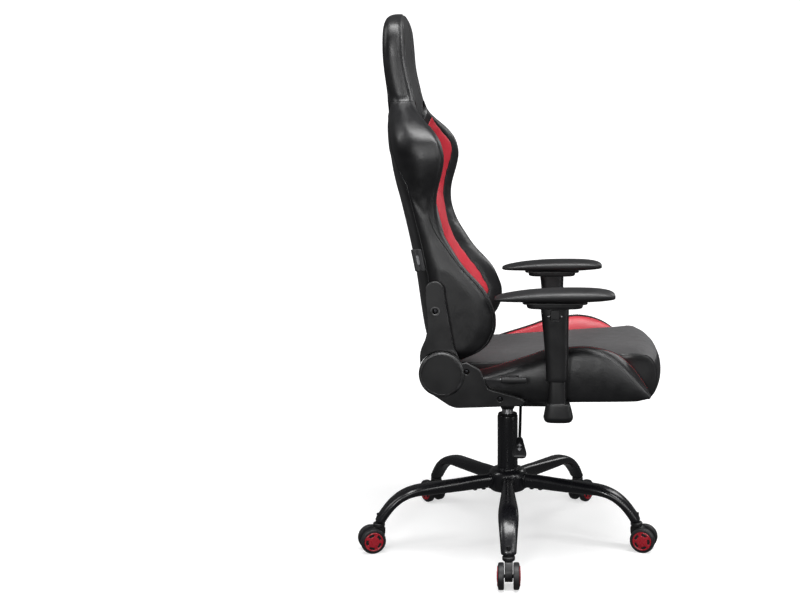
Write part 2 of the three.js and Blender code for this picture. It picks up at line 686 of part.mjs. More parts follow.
// ---------------------------------------------------------------- armrests
const SLEEVE_LOW = 455;
const SLEEVE_TOP = 617;
const POST_TOP = 565;
const POST_HALF_X = 19.5;
const POST_HALF_Y = 14;
const alongX = new THREE.Vector3(1, 0, 0);
const alongY = new THREE.Vector3(0, 1, 0);

// A column of rounded rings, from [height, centre x, half x, half y] stations.
function oval(stations, side, count = 14) {
  const rings = stations.map(([z, x, a, b]) => {
    return roundRing(new THREE.Vector3(x, side * ARM_Y, z), alongX, alongY, a, b, count, 3.2);
  });
  return loft(rings);
}

function armPost(side) {
  return oval([
    [358.5, 119, 18, 10], [361, 119, 27, 16], [372, 119, 31.5, 20], [386, 119, 29, 19],
    [403, 118, 25.5, 17.5], [404.5, ARM_X, POST_HALF_X, POST_HALF_Y],
    [POST_TOP, ARM_X, POST_HALF_X, POST_HALF_Y],
  ], side);
}

// The L bracket's flat bar, from under the seat pan to the post's foot.
function armBracket(side) {
  const inner = 92;
  const outer = ARM_Y - 19.5;
  return side > 0
    ? box(100, 138, inner, outer, PLATE_BOTTOM, PAN_BOTTOM - GAP)
    : box(100, 138, -outer, -inner, PLATE_BOTTOM, PAN_BOTTOM - GAP);
}

function armSleeve(side) {
  const shell = oval([
    [SLEEVE_LOW, ARM_X - 1, 22, 18], [458, ARM_X - 1, 23.5, 19], [500, 115, 25, 20], [575, 112, 28.5, 23],
    [SLEEVE_TOP + 1, 110, 31, 25],
  ], side);
  const head = oval([[SLEEVE_TOP, 110, 61, 22], [627, 110, 62, 22]], side, 14);
  const plate = oval([[626.5, 110.5, 71, 26], [631, 110.5, 71, 26]], side, 14);
  const wellX = POST_HALF_X + 0.7;
  const wellY = POST_HALF_Y + 0.7;
  const well = oval([[SLEEVE_LOW - 5, ARM_X, wellX, wellY], [611, ARM_X, wellX, wellY]], side);
  const outside = ARM_Y + 30;
  const pocketY = ARM_Y + 17;
  const low = Math.min(side * outside, side * pocketY);
  const pocket = box(100, 121, low, low + outside - pocketY, 595, 615.5);
  return cut(join(shell, head, plate), well, pocket);
}

function armButton(side) {
  const near = ARM_Y + 19.6;
  const far = ARM_Y + 24.6;
  const low = Math.min(side * near, side * far);
  return box(100.4, 120.6, low, low + far - near, 595.4, 615.1);
}

function armPad(side) {
  const stations = [
    [-21, 636, 640, 24], [-14, 633, 644, 34], [10, 633, 650, 41], [70, 632, 658, 45], [140, 631.4, 661, 46],
    [200, 634, 660, 44], [228, 636, 656, 38], [241, 639, 648, 26],
  ];
  const up = new THREE.Vector3(0, 0, 1);
  const rings = stations.map(([x, low, high, half]) => {
    const centre = new THREE.Vector3(x, side * ARM_Y, (low + high) / 2);
    return roundRing(centre, alongY, up, half, (high - low) / 2, 14, 3);
  });
  const underside = box(-40, 300, side * ARM_Y - 100, side * ARM_Y + 100, 600, 631 + GAP);
  return cut(loft(rings), underside);
}

[1, -1].forEach((side) => {
  const name = sideName(side);
  add(`armrest_bracket_${name}`, armBracket(side), darkSteel());
  add(`armrest_post_${name}`, armPost(side), satinBlack());
  add(`armrest_sleeve_${name}`, armSleeve(side), satinBlack());
  add(`armrest_button_${name}`, armButton(side), satinBlack());
  add(`armrest_pad_${name}`, armPad(side), satinBlack());
});

export default chair;
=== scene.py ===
"""Looks of the gaming chair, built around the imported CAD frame.

Sizes are millimetres in the chair's own plan frame: X forward and Y to the sitter's left from the gas
column's axis, Z up from the floor. world() turns them into metres in the CAD frame.
"""
import json
import math
from contextlib import contextmanager

import bmesh
import bpy
import numpy as np
from mathutils import Matrix, Vector
from mathutils.bvhtree import BVHTree

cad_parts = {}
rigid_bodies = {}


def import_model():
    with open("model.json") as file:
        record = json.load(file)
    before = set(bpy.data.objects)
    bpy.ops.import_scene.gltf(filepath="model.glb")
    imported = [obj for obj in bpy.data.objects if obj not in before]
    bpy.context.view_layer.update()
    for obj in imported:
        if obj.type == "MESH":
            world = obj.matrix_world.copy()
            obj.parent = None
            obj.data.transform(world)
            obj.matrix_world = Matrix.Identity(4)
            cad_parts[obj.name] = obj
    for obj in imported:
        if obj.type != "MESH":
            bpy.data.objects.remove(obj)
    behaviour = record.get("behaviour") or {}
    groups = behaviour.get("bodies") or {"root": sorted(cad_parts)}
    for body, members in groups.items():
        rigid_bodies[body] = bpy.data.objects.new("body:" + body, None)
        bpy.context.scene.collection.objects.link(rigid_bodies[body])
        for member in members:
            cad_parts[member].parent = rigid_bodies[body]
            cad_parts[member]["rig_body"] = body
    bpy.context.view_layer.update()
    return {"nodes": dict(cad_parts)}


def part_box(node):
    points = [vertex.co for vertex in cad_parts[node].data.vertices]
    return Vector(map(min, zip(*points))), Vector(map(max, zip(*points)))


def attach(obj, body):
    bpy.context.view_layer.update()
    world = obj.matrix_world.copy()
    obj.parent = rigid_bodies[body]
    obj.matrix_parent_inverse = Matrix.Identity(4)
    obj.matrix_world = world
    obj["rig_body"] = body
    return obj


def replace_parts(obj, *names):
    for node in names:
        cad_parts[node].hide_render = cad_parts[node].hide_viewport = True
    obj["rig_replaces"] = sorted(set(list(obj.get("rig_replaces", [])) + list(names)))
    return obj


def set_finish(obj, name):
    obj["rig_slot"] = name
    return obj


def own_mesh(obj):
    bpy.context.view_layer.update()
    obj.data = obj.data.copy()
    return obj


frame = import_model()

MM = 0.001
QUARTER = math.pi / 2
tube_low, tube_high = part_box("column_tube")
AXIS_X = (tube_low.x + tube_high.x) / 2
AXIS_Y = (tube_low.y + tube_high.y) / 2
SCENE = bpy.context.scene


def world(x, y, z):
    return Vector((AXIS_X + x * MM, AXIS_Y + y * MM, z * MM))


ORIGIN = world(0, 0, 0)


# ------------------------------------------------------------------ materials
class Nodes:
    """A short way to write a node tree on one Principled material."""

    def __init__(self, name):
        self.material = bpy.data.materials.new(name)
        self.material.use_nodes = True
        self.tree = self.material.node_tree
        self.shader = self.tree.nodes["Principled BSDF"]
        self.coords = self.add("ShaderNodeTexCoord").outputs["Object"]

    def add(self, kind, **values):
        node = self.tree.nodes.new(kind)
        for key, value in values.items():
            if key in node.inputs:
                node.inputs[key].default_value = value
            else:
                setattr(node, key, value)
        return node

    def link(self, source, target):
        self.tree.links.new(source, target)

    def noise(self, scale, detail=2.0, rough=0.5, stretch=None):
        node = self.add("ShaderNodeTexNoise", Scale=scale, Detail=detail, Roughness=rough)
        self.link(self.stretched(stretch), node.inputs["Vector"])
        return node.outputs["Fac"]

    def cells(self, scale):
        node = self.add("ShaderNodeTexVoronoi", Scale=scale, feature="DISTANCE_TO_EDGE")
        self.link(self.coords, node.inputs["Vector"])
        return node.outputs["Distance"]

    def weave(self, scale, stretch=None):
        node = self.add("ShaderNodeTexWave", Scale=scale, Distortion=0.4)
        node.inputs["Detail Scale"].default_value = 2.0
        self.link(self.stretched(stretch), node.inputs["Vector"])
        return node.outputs["Fac"]

    def stretched(self, stretch):
        if stretch is None:
            return self.coords
        mapping = self.add("ShaderNodeMapping")
        mapping.inputs["Scale"].default_value = stretch
        self.link(self.coords, mapping.inputs["Vector"])
        return mapping.outputs["Vector"]

    def ramp(self, source, low, high, start=0.3, end=0.7):
        node = self.add("ShaderNodeMapRange")
        node.inputs["From Min"].default_value = start
        node.inputs["From Max"].default_value = end
        node.inputs["To Min"].default_value = low
        node.inputs["To Max"].default_value = high
        self.link(source, node.inputs["Value"])
        return node.outputs["Result"]

    def mix(self, factor, first, second):
        node = self.add("ShaderNodeMix", data_type="RGBA")
        node.inputs["A"].default_value = (*first, 1)
        node.inputs["B"].default_value = (*second, 1)
        self.link(factor, node.inputs["Factor"])
        return node.outputs["Result"]

    def sum(self, *terms):
        """The weighted sum of several outputs."""
        parts = [self.math("MULTIPLY", source, float(weight)) for source, weight in terms]
        total = parts[0]
        for part in parts[1:]:
            total = self.math("ADD", total, part)
        return total

    def bump(self, height, strength, distance):
        node = self.add("ShaderNodeBump")
        node.inputs["Strength"].default_value = strength
        node.inputs["Distance"].default_value = distance
        self.link(height, node.inputs["Height"])
        self.link(node.outputs["Normal"], self.shader.inputs["Normal"])

    def edge_wear_and_highlight(self, color, wear_and_highlight_color, amount):
        """The colour, lighter on the convex edges in noisy patches: rubbed wear on most materials, and a
        painted highlight along the rims where the edge colour is bright, as on the bracket cover.
        """
        geometry = self.add("ShaderNodeNewGeometry")
        edge = self.ramp(geometry.outputs["Pointiness"], 0, amount, 0.52, 0.62)
        patch = self.ramp(self.noise(60, 3), 0, 1, 0.42, 0.62)
        return self.mix(self.math("MULTIPLY", edge, patch), color, wear_and_highlight_color)

    def color(self, source):
        self.link(source, self.shader.inputs["Base Color"])

    def rough(self, source, low, high):
        self.link(self.ramp(source, low, high), self.shader.inputs["Roughness"])

    def math(self, operation, first, second):
        """A math node over an output and either a number or another output."""
        node = self.add("ShaderNodeMath", operation=operation)
        self.link(first, node.inputs[0])
        if isinstance(second, float):
            node.inputs[1].default_value = second
        else:
            self.link(second, node.inputs[1])
        return node.outputs["Value"]

    def set(self, **values):
        for key, value in values.items():
            self.shader.inputs[key.replace("_", " ")].default_value = value
        return self.material


def leatherette(name, dark, light, rough):
    """Fine pebbled PU leather with soft creases and uneven gloss."""
    n = Nodes(name)
    tone = n.ramp(n.noise(7, 3), 0, 1, 0.35, 0.65)
    n.color(n.mix(tone, dark, light))
    n.rough(n.noise(38, 4), rough - 0.06, rough + 0.08)
    pebble = n.cells(900)
    crease = n.noise(150, 4, 0.6)
    n.bump(n.sum((pebble, 0.6), (crease, 0.8), (n.noise(24, 2), 0.7)), 0.33, 0.0005)
    return n.material


def seat_cloth(name, dark, light):
    """Closer, duller leatherette with a faint crossed weave, for the sitting surface."""
    n = Nodes(name)
    tone = n.ramp(n.noise(11, 3), 0, 1, 0.35, 0.65)
    n.color(n.mix(tone, dark, light))
    n.rough(n.noise(45, 3), 0.55, 0.7)
    weft = n.weave(420)
    warp = n.weave(420, (0.01, 1, 0.01))
    n.bump(n.sum((weft, 0.4), (warp, 0.4), (n.noise(60, 3), 1.2)), 0.3, 0.0005)
    return n.set(Sheen_Weight=0.12, Sheen_Roughness=0.5)


def moulded(name, color, rough, grain=700, depth=0.00025, wear_and_highlight_color=(0.16, 0.16, 0.17)):
    """Spark-textured moulded plastic with lighter convex edges: rubbed wear, and on the bracket cover a
    painted edge highlight.
    """
    n = Nodes(name)
    n.color(n.edge_wear_and_highlight(color, wear_and_highlight_color, 0.5))
    n.rough(n.noise(30, 3), rough - 0.05, rough + 0.07)
    n.bump(n.sum((n.noise(grain, 3, 0.7), 1.0), (n.noise(22, 2), 0.5)), 0.3, depth)
    return n.material


def gloss_paint(name, color):
    """Gloss powder coat with a slight orange peel and fine dust in its gloss."""
    n = Nodes(name)
    n.color(n.edge_wear_and_highlight(color, (0.03, 0.03, 0.033), 0.15))
    n.rough(n.noise(55, 4), 0.23, 0.3)
    n.bump(n.sum((n.noise(90, 1), 0.5), (n.noise(16, 2), 1.5)), 0.02, 0.0002)
    return n.set(Coat_Weight=0.3, Coat_Roughness=0.14, Specular_IOR_Level=0.5)


def brushed(name, color, rough, stretch=(6, 6, 220)):
    """Turned or drawn bare steel with fine marks along it."""
    n = Nodes(name)
    marks = n.noise(30, 4, 0.6, stretch)
    n.color(n.mix(n.ramp(marks, 0, 1), color, tuple(c * 0.8 for c in color)))
    n.rough(marks, rough - 0.06, rough + 0.1)
    n.bump(marks, 0.1, 0.0002)
    return n.set(Metallic=1.0)


def red_gloss(name):
    """Glossy moulded red caps, slightly scuffed."""
    n = Nodes(name)
    n.color(n.edge_wear_and_highlight((0.40, 0.016, 0.028), (0.55, 0.12, 0.13), 0.6))
    n.rough(n.noise(90, 4), 0.2, 0.34)
    n.bump(n.noise(60, 2), 0.08, 0.0003)
    return n.set(Coat_Weight=0.3, Coat_Roughness=0.15)


def rubber_tread(name):
    """Dusty dark polyurethane of the caster treads."""
    n = Nodes(name)
    dust = n.ramp(n.noise(80, 5, 0.7), 0, 1, 0.45, 0.75)
    n.color(n.mix(dust, (0.012, 0.012, 0.014), (0.035, 0.034, 0.034)))
    n.rough(n.noise(50, 3), 0.4, 0.6)
    n.bump(n.noise(300, 3), 0.25, 0.0003)
    return n.material


def thread(name, color):
    """Twisted sewing thread."""
    n = Nodes(name)
    n.color(n.mix(n.weave(900), color, tuple(c * 0.6 for c in color)))
    n.bump(n.weave(1200, (1, 1, 1)), 0.4, 0.0003)
    return n.set(Roughness=0.7)


def woven(name, color, scale):
    """Plain woven tape or lining cloth."""
    n = Nodes(name)
    over = n.weave(scale)
    under = n.weave(scale, (0.01, 0.01, 1))
    both = n.sum((over, 0.5), (under, 0.5))
    n.color(n.mix(both, tuple(c * 0.6 for c in color), color))
    n.bump(both, 0.4, 0.0004)
    return n.set(Roughness=0.85, Sheen_Weight=0.1)


M = {
    "leather": leatherette("black_leatherette", (0.0042, 0.0042, 0.0047), (0.0068, 0.0068, 0.0076), 0.37),
    "seat": seat_cloth("seat_leatherette", (0.021, 0.0204, 0.0215), (0.029, 0.0282, 0.0295)),
    "red": leatherette("red_leatherette", (0.36, 0.014, 0.026), (0.44, 0.022, 0.036), 0.42),
    "paint": gloss_paint("gloss_black_paint", (0.006, 0.006, 0.0075)),
    "satin": moulded("satin_black_steel", (0.006, 0.006, 0.007), 0.36, 260, 0.0002, (0.07, 0.07, 0.075)),
    # The bracket cover's bright edge colour is a painted highlight along its rims and bevels, not wear.
    "cover": moulded("bracket_cover_plastic", (0.0055, 0.0055, 0.006), 0.37, 900, 0.00015,
                     (0.26, 0.26, 0.265)),
    "arm": moulded("armrest_plastic", (0.005, 0.005, 0.0056), 0.4, 800, 0.0002, (0.04, 0.04, 0.042)),
    "pad": moulded("armrest_pad_skin", (0.0085, 0.0085, 0.0092), 0.46, 1100, 0.0002, (0.04, 0.04, 0.042)),
    "nylon": moulded("black_nylon", (0.0065, 0.0065, 0.0072), 0.42, wear_and_highlight_color=(0.05, 0.05, 0.052)),
    "tread": rubber_tread("caster_tread"),
    "cap": red_gloss("caster_cap_red"),
    "steel": brushed("bare_steel", (0.52, 0.52, 0.53), 0.3),
    "piston": brushed("piston_steel", (0.5, 0.5, 0.51), 0.46),
    "screw": brushed("dark_screw", (0.05, 0.05, 0.055), 0.4, (80, 80, 80)),
    "thread": thread("black_thread", (0.03, 0.03, 0.032)),
    "red_thread": thread("red_thread", (0.42, 0.02, 0.03)),
    "label": woven("label_cloth", (0.022, 0.022, 0.024), 1100),
    "label_mark": woven("label_mark_cloth", (0.2, 0.2, 0.21), 1100),
    "lining": woven("dust_cover_cloth", (0.012, 0.012, 0.013), 500),
}
SLOTS = {
    "leather": "black_leatherette", "seat": "seat_fabric", "red": "red_leatherette",
    "paint": "gloss_black_steel", "satin": "satin_black_steel", "cover": "bracket_cover",
    "arm": "armrest_plastic", "pad": "armrest_pad", "nylon": "black_nylon", "tread": "caster_wheel",
    "cap": "caster_wheel", "steel": "bare_steel", "piston": "bare_steel", "screw": "satin_black_steel",
    "thread": "black_leatherette", "red_thread": "red_leatherette",
    "label": "black_leatherette", "label_mark": "black_leatherette", "lining": "seat_fabric",
}


# ------------------------------------------------------------------ mesh helpers
SIDES = ((1, "left"), (-1, "right"))
TO_WORLD = Matrix.Translation(ORIGIN) @ Matrix.Scale(MM, 4)
AXIS_R = 0.4        # the smallest radius of a turned piece, so that its end caps stay flat
RIM_INSET = 0.8     # a flat face keeps its own shading up to this far from a rounded edge
WELD = 1e-6         # metres


def mesh_object(name, points, faces):
    """An object in the scene from points in metres."""
    mesh = bpy.data.meshes.new(name)
    mesh.from_pydata(points, [], faces)
    obj = bpy.data.objects.new(name, mesh)
    SCENE.collection.objects.link(obj)
    return obj


def modifier(obj, name, kind, **values):
    """Adds a modifier with its settings."""
    added = obj.modifiers.new(name, kind)
    for key, value in values.items():
        setattr(added, key, value)


def subdivided(obj, levels):
    """Adds smooth subdivision."""
    modifier(obj, "smooth", "SUBSURF", levels=levels, render_levels=levels)


def thickened(obj, thick):
    """Gives a sheet its thickness in millimetres, inwards."""
    modifier(obj, "thickness", "SOLIDIFY", thickness=thick * MM, offset=-1)


def evaluated_mesh(obj):
    """A new mesh of the object with its modifiers applied."""
    return bpy.data.meshes.new_from_object(obj.evaluated_get(bpy.context.evaluated_depsgraph_get()))


@contextmanager
def editing(mesh):
    """The mesh opened for bmesh operators, written back at the end."""
    bm = bmesh.new()
    bm.from_mesh(mesh)
    yield bm
    bm.to_mesh(mesh)
    bm.free()


def circle(count, shift=0.0):
    """The angles of evenly spaced points round a circle."""
    return [2 * math.pi * (i + shift) / count for i in range(count)]


def bowed(value, power):
    """A sine or cosine reshaped so that a circle becomes a rounded square of that power."""
    return math.copysign(abs(value) ** (2 / power), value)


def piece(name, points, faces, finish, body, replaced=(), sharp=38):
    """A mesh object from points in chair millimetres, with its material, slot and body."""
    obj = mesh_object(name, [world(*p) for p in points], faces)
    obj.data.validate()
    return dress(obj, finish, body, replaced, sharp)


def dress(obj, finish, body, replaced=(), sharp=38):
    """Gives an object its material, shading, body, slot and the CAD nodes it stands for."""
    if obj.name not in SCENE.collection.objects:
        SCENE.collection.objects.link(obj)
    obj.data.materials.append(M[finish])
    for polygon in obj.data.polygons:
        polygon.use_smooth = True
    obj.data.set_sharp_from_angle(angle=math.radians(sharp))
    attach(obj, body)
    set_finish(obj, SLOTS[finish])
    if replaced:
        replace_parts(obj, *([replaced] if isinstance(replaced, str) else replaced))
    return obj


def ring_faces(rows, count, closed_rows=False):
    """Quads over rows of points that each close on themselves. Open rows get end caps."""
    faces = []
    last = rows if closed_rows else rows - 1
    for k in range(last):
        for i in range(count):
            j = (i + 1) % count
            a, b = k * count, ((k + 1) % rows) * count
            faces.append((a + i, a + j, b + j, b + i))
    if not closed_rows:
        faces.append(tuple(range(count - 1, -1, -1)))
        faces.append(tuple(range((rows - 1) * count, rows * count)))
    return faces


def revolve(name, profile, place, finish, body, replaced=(), sides=56, sharp=30):
    """Turns [radius, height] points about the local Z axis of the place matrix."""
    points = []
    for r, z in profile:
        for a in circle(sides):
            points.append(place @ Vector((max(r, AXIS_R) * math.cos(a), max(r, AXIS_R) * math.sin(a), z)))
    faces = ring_faces(len(profile), sides, closed_rows=profile[0][0] > 0.5)
    return fix_normals(piece(name, points, faces, finish, body, replaced, sharp))


def fix_normals(obj):
    """Turns all faces of an object outwards."""
    with editing(obj.data) as bm:
        bmesh.ops.recalc_face_normals(bm, faces=bm.faces)
    return obj


def at(x, y, z, tilt_x=0.0, tilt_y=0.0):
    """A place in chair millimetres: turned about X, then Y, then moved."""
    spin = Matrix.Rotation(tilt_y, 4, "Y") @ Matrix.Rotation(tilt_x, 4, "X")
    return Matrix.Translation(Vector((x, y, z))) @ spin


def loft(name, rings, finish, body, replaced=(), smooth=0, sharp=50, closed=False):
    """A closed skin over rings of points, with optional subdivision."""
    points = [p for ring in rings for p in ring]
    faces = ring_faces(len(rings), len(rings[0]), closed)
    obj = piece(name, points, faces, finish, body, replaced, sharp)
    if smooth:
        subdivided(obj, smooth)
    return fix_normals(obj)


def oval_ring(centre, u, v, a, b, count, power=3.0):
    """Points of a rounded rectangle about a centre in the plane of two directions."""
    ring = []
    for t in circle(count, 0.5):
        cu, sv = bowed(math.cos(t), power), bowed(math.sin(t), power)
        ring.append(Vector(centre) + Vector(u) * a * cu + Vector(v) * b * sv)
    return ring


def sweep(name, path, radius, finish, body, replaced=(), sides=12, taper=None, closed=False):
    """A round cord or bar along points in chair millimetres."""
    path = [Vector(p) for p in path]
    rings = []
    normal = None
    n = len(path)
    for i, p in enumerate(path):
        ahead = path[(i + 1) % n] if closed else path[min(i + 1, n - 1)]
        behind = path[i - 1] if closed else path[max(i - 1, 0)]
        along = (ahead - behind).normalized()
        if normal is None:
            normal = along.cross(Vector((0, 0, 1)))
            if normal.length < 0.1:
                normal = along.cross(Vector((1, 0, 0)))
        normal = (normal - along * normal.dot(along)).normalized()
        other = along.cross(normal)
        r = radius * (taper(i / (n - 1)) if taper else 1)
        rings.append(oval_ring(p, normal, other, r, r, sides, 2.0))
    return loft(name, rings, finish, body, replaced, sharp=60, closed=closed)


def curve_through(points, step):
    """Points every step millimetres on a smooth curve through the given points."""
    pts = [Vector(p) for p in points]
    ends = [pts[0] * 2 - pts[1]] + pts + [pts[-1] * 2 - pts[-2]]
    out = []
    for i in range(1, len(ends) - 2):
        p0, p1, p2, p3 = ends[i - 1:i + 3]
        count = max(1, int((p2 - p1).length / step))
        for k in range(count):
            t = k / count
            a = p1 * 2 + (p2 - p0) * t + (p0 * 2 - p1 * 5 + p2 * 4 - p3) * t * t
            out.append((a + (p1 * 3 - p0 - p2 * 3 + p3) * t ** 3) * 0.5)
    out.append(pts[-1])
    return out


def smooth(points):
    """A smooth function through a few (where, value) points, flat beyond both ends."""
    fine = curve_through([(a, b, 0) for a, b in points], (points[-1][0] - points[0][0]) / 200)
    xs = np.array([p.x for p in fine])
    ys = np.array([p.y for p in fine])
    order = np.argsort(xs, kind="stable")
    return lambda z: float(np.interp(z, xs[order], ys[order]))


def arc(x, z, r, start, end, count):
    """Points on an arc in degrees, both ends included."""
    angles = [math.radians(start + (end - start) * i / count) for i in range(count + 1)]
    return [(x + r * math.cos(a), z + r * math.sin(a)) for a in angles]


def rounded(corners, radius, steps=5):
    """A closed outline with its corners rounded."""
    out = []
    n = len(corners)
    for i, corner in enumerate(corners):
        p = Vector(corner)
        before = Vector(corners[i - 1]) - p
        after = Vector(corners[(i + 1) % n]) - p
        r = min(radius, before.length * 0.45, after.length * 0.45)
        a = p + before.normalized() * r
        b = p + after.normalized() * r
        for k in range(steps + 1):
            t = k / steps
            q = a * (1 - t) ** 2 + p * 2 * t * (1 - t) + b * t * t
            out.append((q.x, q.y))
    return out


def plate(name, outline, near, far, finish, body, replaced=(), holes=(), edge=1.0, side=1):
    """A flat piece with rounded edges, drawn in X and Z. It spans Y from near to far on one side."""
    curve = bpy.data.curves.new(name, "CURVE")
    curve.dimensions = "2D"
    curve.fill_mode = "BOTH"
    rim = min(edge, (far - near) / 2 - 0.05)
    curve.extrude = (far - near) / 2 - rim
    curve.bevel_depth = rim
    curve.bevel_resolution = 3
    curve.offset = -rim
    for points in [outline, *[arc(x, z, r, 0, 345, 23) for x, z, r in holes]]:
        spline = curve.splines.new("POLY")
        spline.points.add(len(points) - 1)
        for target, (a, b) in zip(spline.points, points):
            target.co = (a, b, 0, 1)
        spline.use_cyclic_u = True
    holder = bpy.data.objects.new(name + "_curve", curve)
    SCENE.collection.objects.link(holder)
    bpy.context.view_layer.update()
    mesh = evaluated_mesh(holder)
    bpy.data.objects.remove(holder)
    mesh.name = name
    mesh.materials.clear()
    mesh.transform(Matrix(((1, 0, 0, 0), (0, 0, -1, side * (near + far) / 2), (0, 1, 0, 0), (0, 0, 0, 1))))
    mesh.transform(TO_WORLD)
    with editing(mesh) as bm:
        bmesh.ops.remove_doubles(bm, verts=bm.verts, dist=WELD)
        bmesh.ops.recalc_face_normals(bm, faces=bm.faces)
        flat = [f for f in bm.faces if abs(f.normal.y) > 0.9999]
        bmesh.ops.inset_region(bm, faces=flat, thickness=RIM_INSET * MM, use_even_offset=True)
    return dress(bpy.data.objects.new(name, mesh), finish, body, replaced, 40)


def moved(obj, place):
    """Moves a finished mesh by a place matrix given in chair millimetres."""
    obj.data.transform(TO_WORLD @ place @ TO_WORLD.inverted())
    obj.data.update()
    return obj


def joined(name, objs):
    """One object from several that ride on the same body, with their modifiers applied."""
    keep = objs[0]
    body, slot, stands_for = keep["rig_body"], keep["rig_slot"], list(keep.get("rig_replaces", []))
    bm = bmesh.new()
    for obj in objs:
        part = evaluated_mesh(obj)
        bm.from_mesh(part)
        bpy.data.meshes.remove(part)
    mesh = bpy.data.meshes.new(name)
    bm.to_mesh(mesh)
    bm.free()
    mesh.materials.append(keep.data.materials[0])
    for polygon in mesh.polygons:
        polygon.material_index = 0
    for obj in objs:
        bpy.data.objects.remove(obj)
    whole = bpy.data.objects.new(name, mesh)
    SCENE.collection.objects.link(whole)
    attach(whole, body)
    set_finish(whole, slot)
    if stands_for:
        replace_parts(whole, *stands_for)
    return whole


def softened(name, node, finish, body, width):
    """The CAD node's own shape with its edges rounded."""
    mesh = frame["nodes"][node].data.copy()
    mesh.name = name
    mesh.materials.clear()
    with editing(mesh) as bm:
        bmesh.ops.remove_doubles(bm, verts=bm.verts, dist=WELD)
        bmesh.ops.dissolve_limit(bm, angle_limit=math.radians(1), verts=bm.verts, edges=bm.edges)
    obj = dress(bpy.data.objects.new(name, mesh), finish, body, node, 30)
    modifier(obj, "edges", "BEVEL", width=width * MM, segments=2, limit_method="ANGLE",
             angle_limit=math.radians(32), harden_normals=True, use_clamp_overlap=True)


def hex_screw(name, place, r, body, finish="screw"):
    """A button-head screw with a hexagon socket, facing along local Z."""
    points = []
    rows = [(r, -2.0, 0), (r, 0.3, 0), (r * 0.92, 1.0, 0), (r * 0.7, 1.5, 0), (r * 0.5, 1.6, 1),
            (r * 0.48, 0.2, 1)]
    count = 36
    for radius, z, socket in rows:
        for a in circle(count):
            shape = math.cos(math.pi / 6) / math.cos((a % (math.pi / 3)) - math.pi / 6) if socket else 1
            reach = radius * shape
            points.append(place @ Vector((reach * math.cos(a), reach * math.sin(a), z)))
    return fix_normals(piece(name, points, ring_faces(len(rows), count), finish, body))


# ------------------------------------------------------------------ base
LEGS = 5
BASE_TURN = math.radians(1.84 - 90)     # the first leg points at the camera
HUB_R = 47
SWIVEL_R = 325      # from the column's axis to a caster's stem
LEG_ROOT_Z = 146
LEG_POWER = 2.4     # how square the oval of a leg is
LEG_END_Z = 70
WHEEL_R = 30
TRAIL = 18          # from a caster's stem to its axle
Y_AXIS = Vector((0, 1, 0))

# Reach from the hub's axis, height, half width and half thickness along a leg.
LEG_STATIONS = [
    (40, LEG_ROOT_Z, 15, 17), (85, 145, 15.5, 16.8), (125, 143, 17, 16), (190, 141, 21, 14.6),
    (235, 139, 23.2, 12.8), (266, 130, 23.2, 11.3), (292, 112, 21, 11), (312, 89, 18.8, 11),
    (324.5, LEG_END_Z, 17.3, 11.5),
]


def leg(place, number):
    """A tube leg, oval at the hub and flattened over its bend, with its weld and two bolts at the hub."""
    line = curve_through([(r, 0, z) for r, z, *_ in LEG_STATIONS], 7)
    reach = [0.0]
    for a, b in zip(line, line[1:]):
        reach.append(reach[-1] + (b - a).length)
    where = []
    for r, z, *_ in LEG_STATIONS:
        where.append(reach[min(range(len(line)), key=lambda k: abs(line[k].x - r) + abs(line[k].z - z))])
    width = smooth([(d, s[2]) for d, s in zip(where, LEG_STATIONS)])
    thick = smooth([(d, s[3]) for d, s in zip(where, LEG_STATIONS)])
    rings = []
    for i, p in enumerate(line):
        along = (line[min(i + 1, len(line) - 1)] - line[max(i - 1, 0)]).normalized()
        if i == len(line) - 1:
            along = Vector((0, 0, -1))
        up = along.cross(Y_AXIS).normalized()
        ring = oval_ring(p, Y_AXIS, up, width(reach[i]), thick(reach[i]), 40, LEG_POWER)
        rings.append([place @ q for q in ring])
    loft(f"leg_{number}_tube", rings, "paint", "base", f"leg_{number}", smooth=1, sharp=80)
    bead = []
    for a in circle(64):
        y = bowed(math.cos(a), LEG_POWER) * 15.6
        z = LEG_ROOT_Z + bowed(math.sin(a), LEG_POWER) * 17.6
        bead.append(place @ Vector((math.sqrt(HUB_R ** 2 - y * y) + 0.6, y, z)))
    sweep(f"leg_{number}_weld", bead, 1.9, "paint", "base", sides=8, closed=True)
    for k, x in enumerate((62, 84)):
        head = place @ at(x, 0, LEG_ROOT_Z - thick(x - 40) - 0.4, tilt_x=math.pi)
        revolve(f"leg_{number}_bolt_{k + 1}", [[0, -1.5], [5.4, -1.5], [5.4, 2.2], [4.6, 3.2], [0, 3.4]],
                head, "screw", "base", sides=24)


def caster(place, number):
    """The twin-wheel caster: hooded yoke with its axle, two tyres, and their red five-spoke caps."""
    body = f"caster_{number}"
    collar = revolve(f"collar_{number}", [
        [0, 58], [11, 58.5], [13.6, 60.6], [14.4, 61.8], [14.4, 67.6], [13.6, 68.8], [12, 69.6], [5.3, 69.6],
        [5.3, LEG_END_Z + 22], [0, LEG_END_Z + 22],
    ], place, "nylon", body, f"caster_{number}_body", sides=40)
    outline = rounded([(-14, 61.5), (-13.5, 44), (-9, 30), (0, 19.5), (22, 16), (32, 27), (29, 44), (15, 60),
                       (5, 61.5)], 7)
    web = moved(plate(f"web_{number}", outline, -9, 9, "nylon", body, edge=1.6), place)
    axle = revolve(f"axle_{number}", [[0, -19], [4, -19], [4, 19], [0, 19]],
                   place @ at(TRAIL, 0, WHEEL_R, tilt_x=QUARTER), "nylon", body, sides=24)
    joined(f"caster_{number}_yoke", [collar, web, axle])
    for side, letter in ((1, "a"), (-1, "b")):
        wheel(place @ at(TRAIL, 0, WHEEL_R, tilt_x=-side * QUARTER), number, letter)


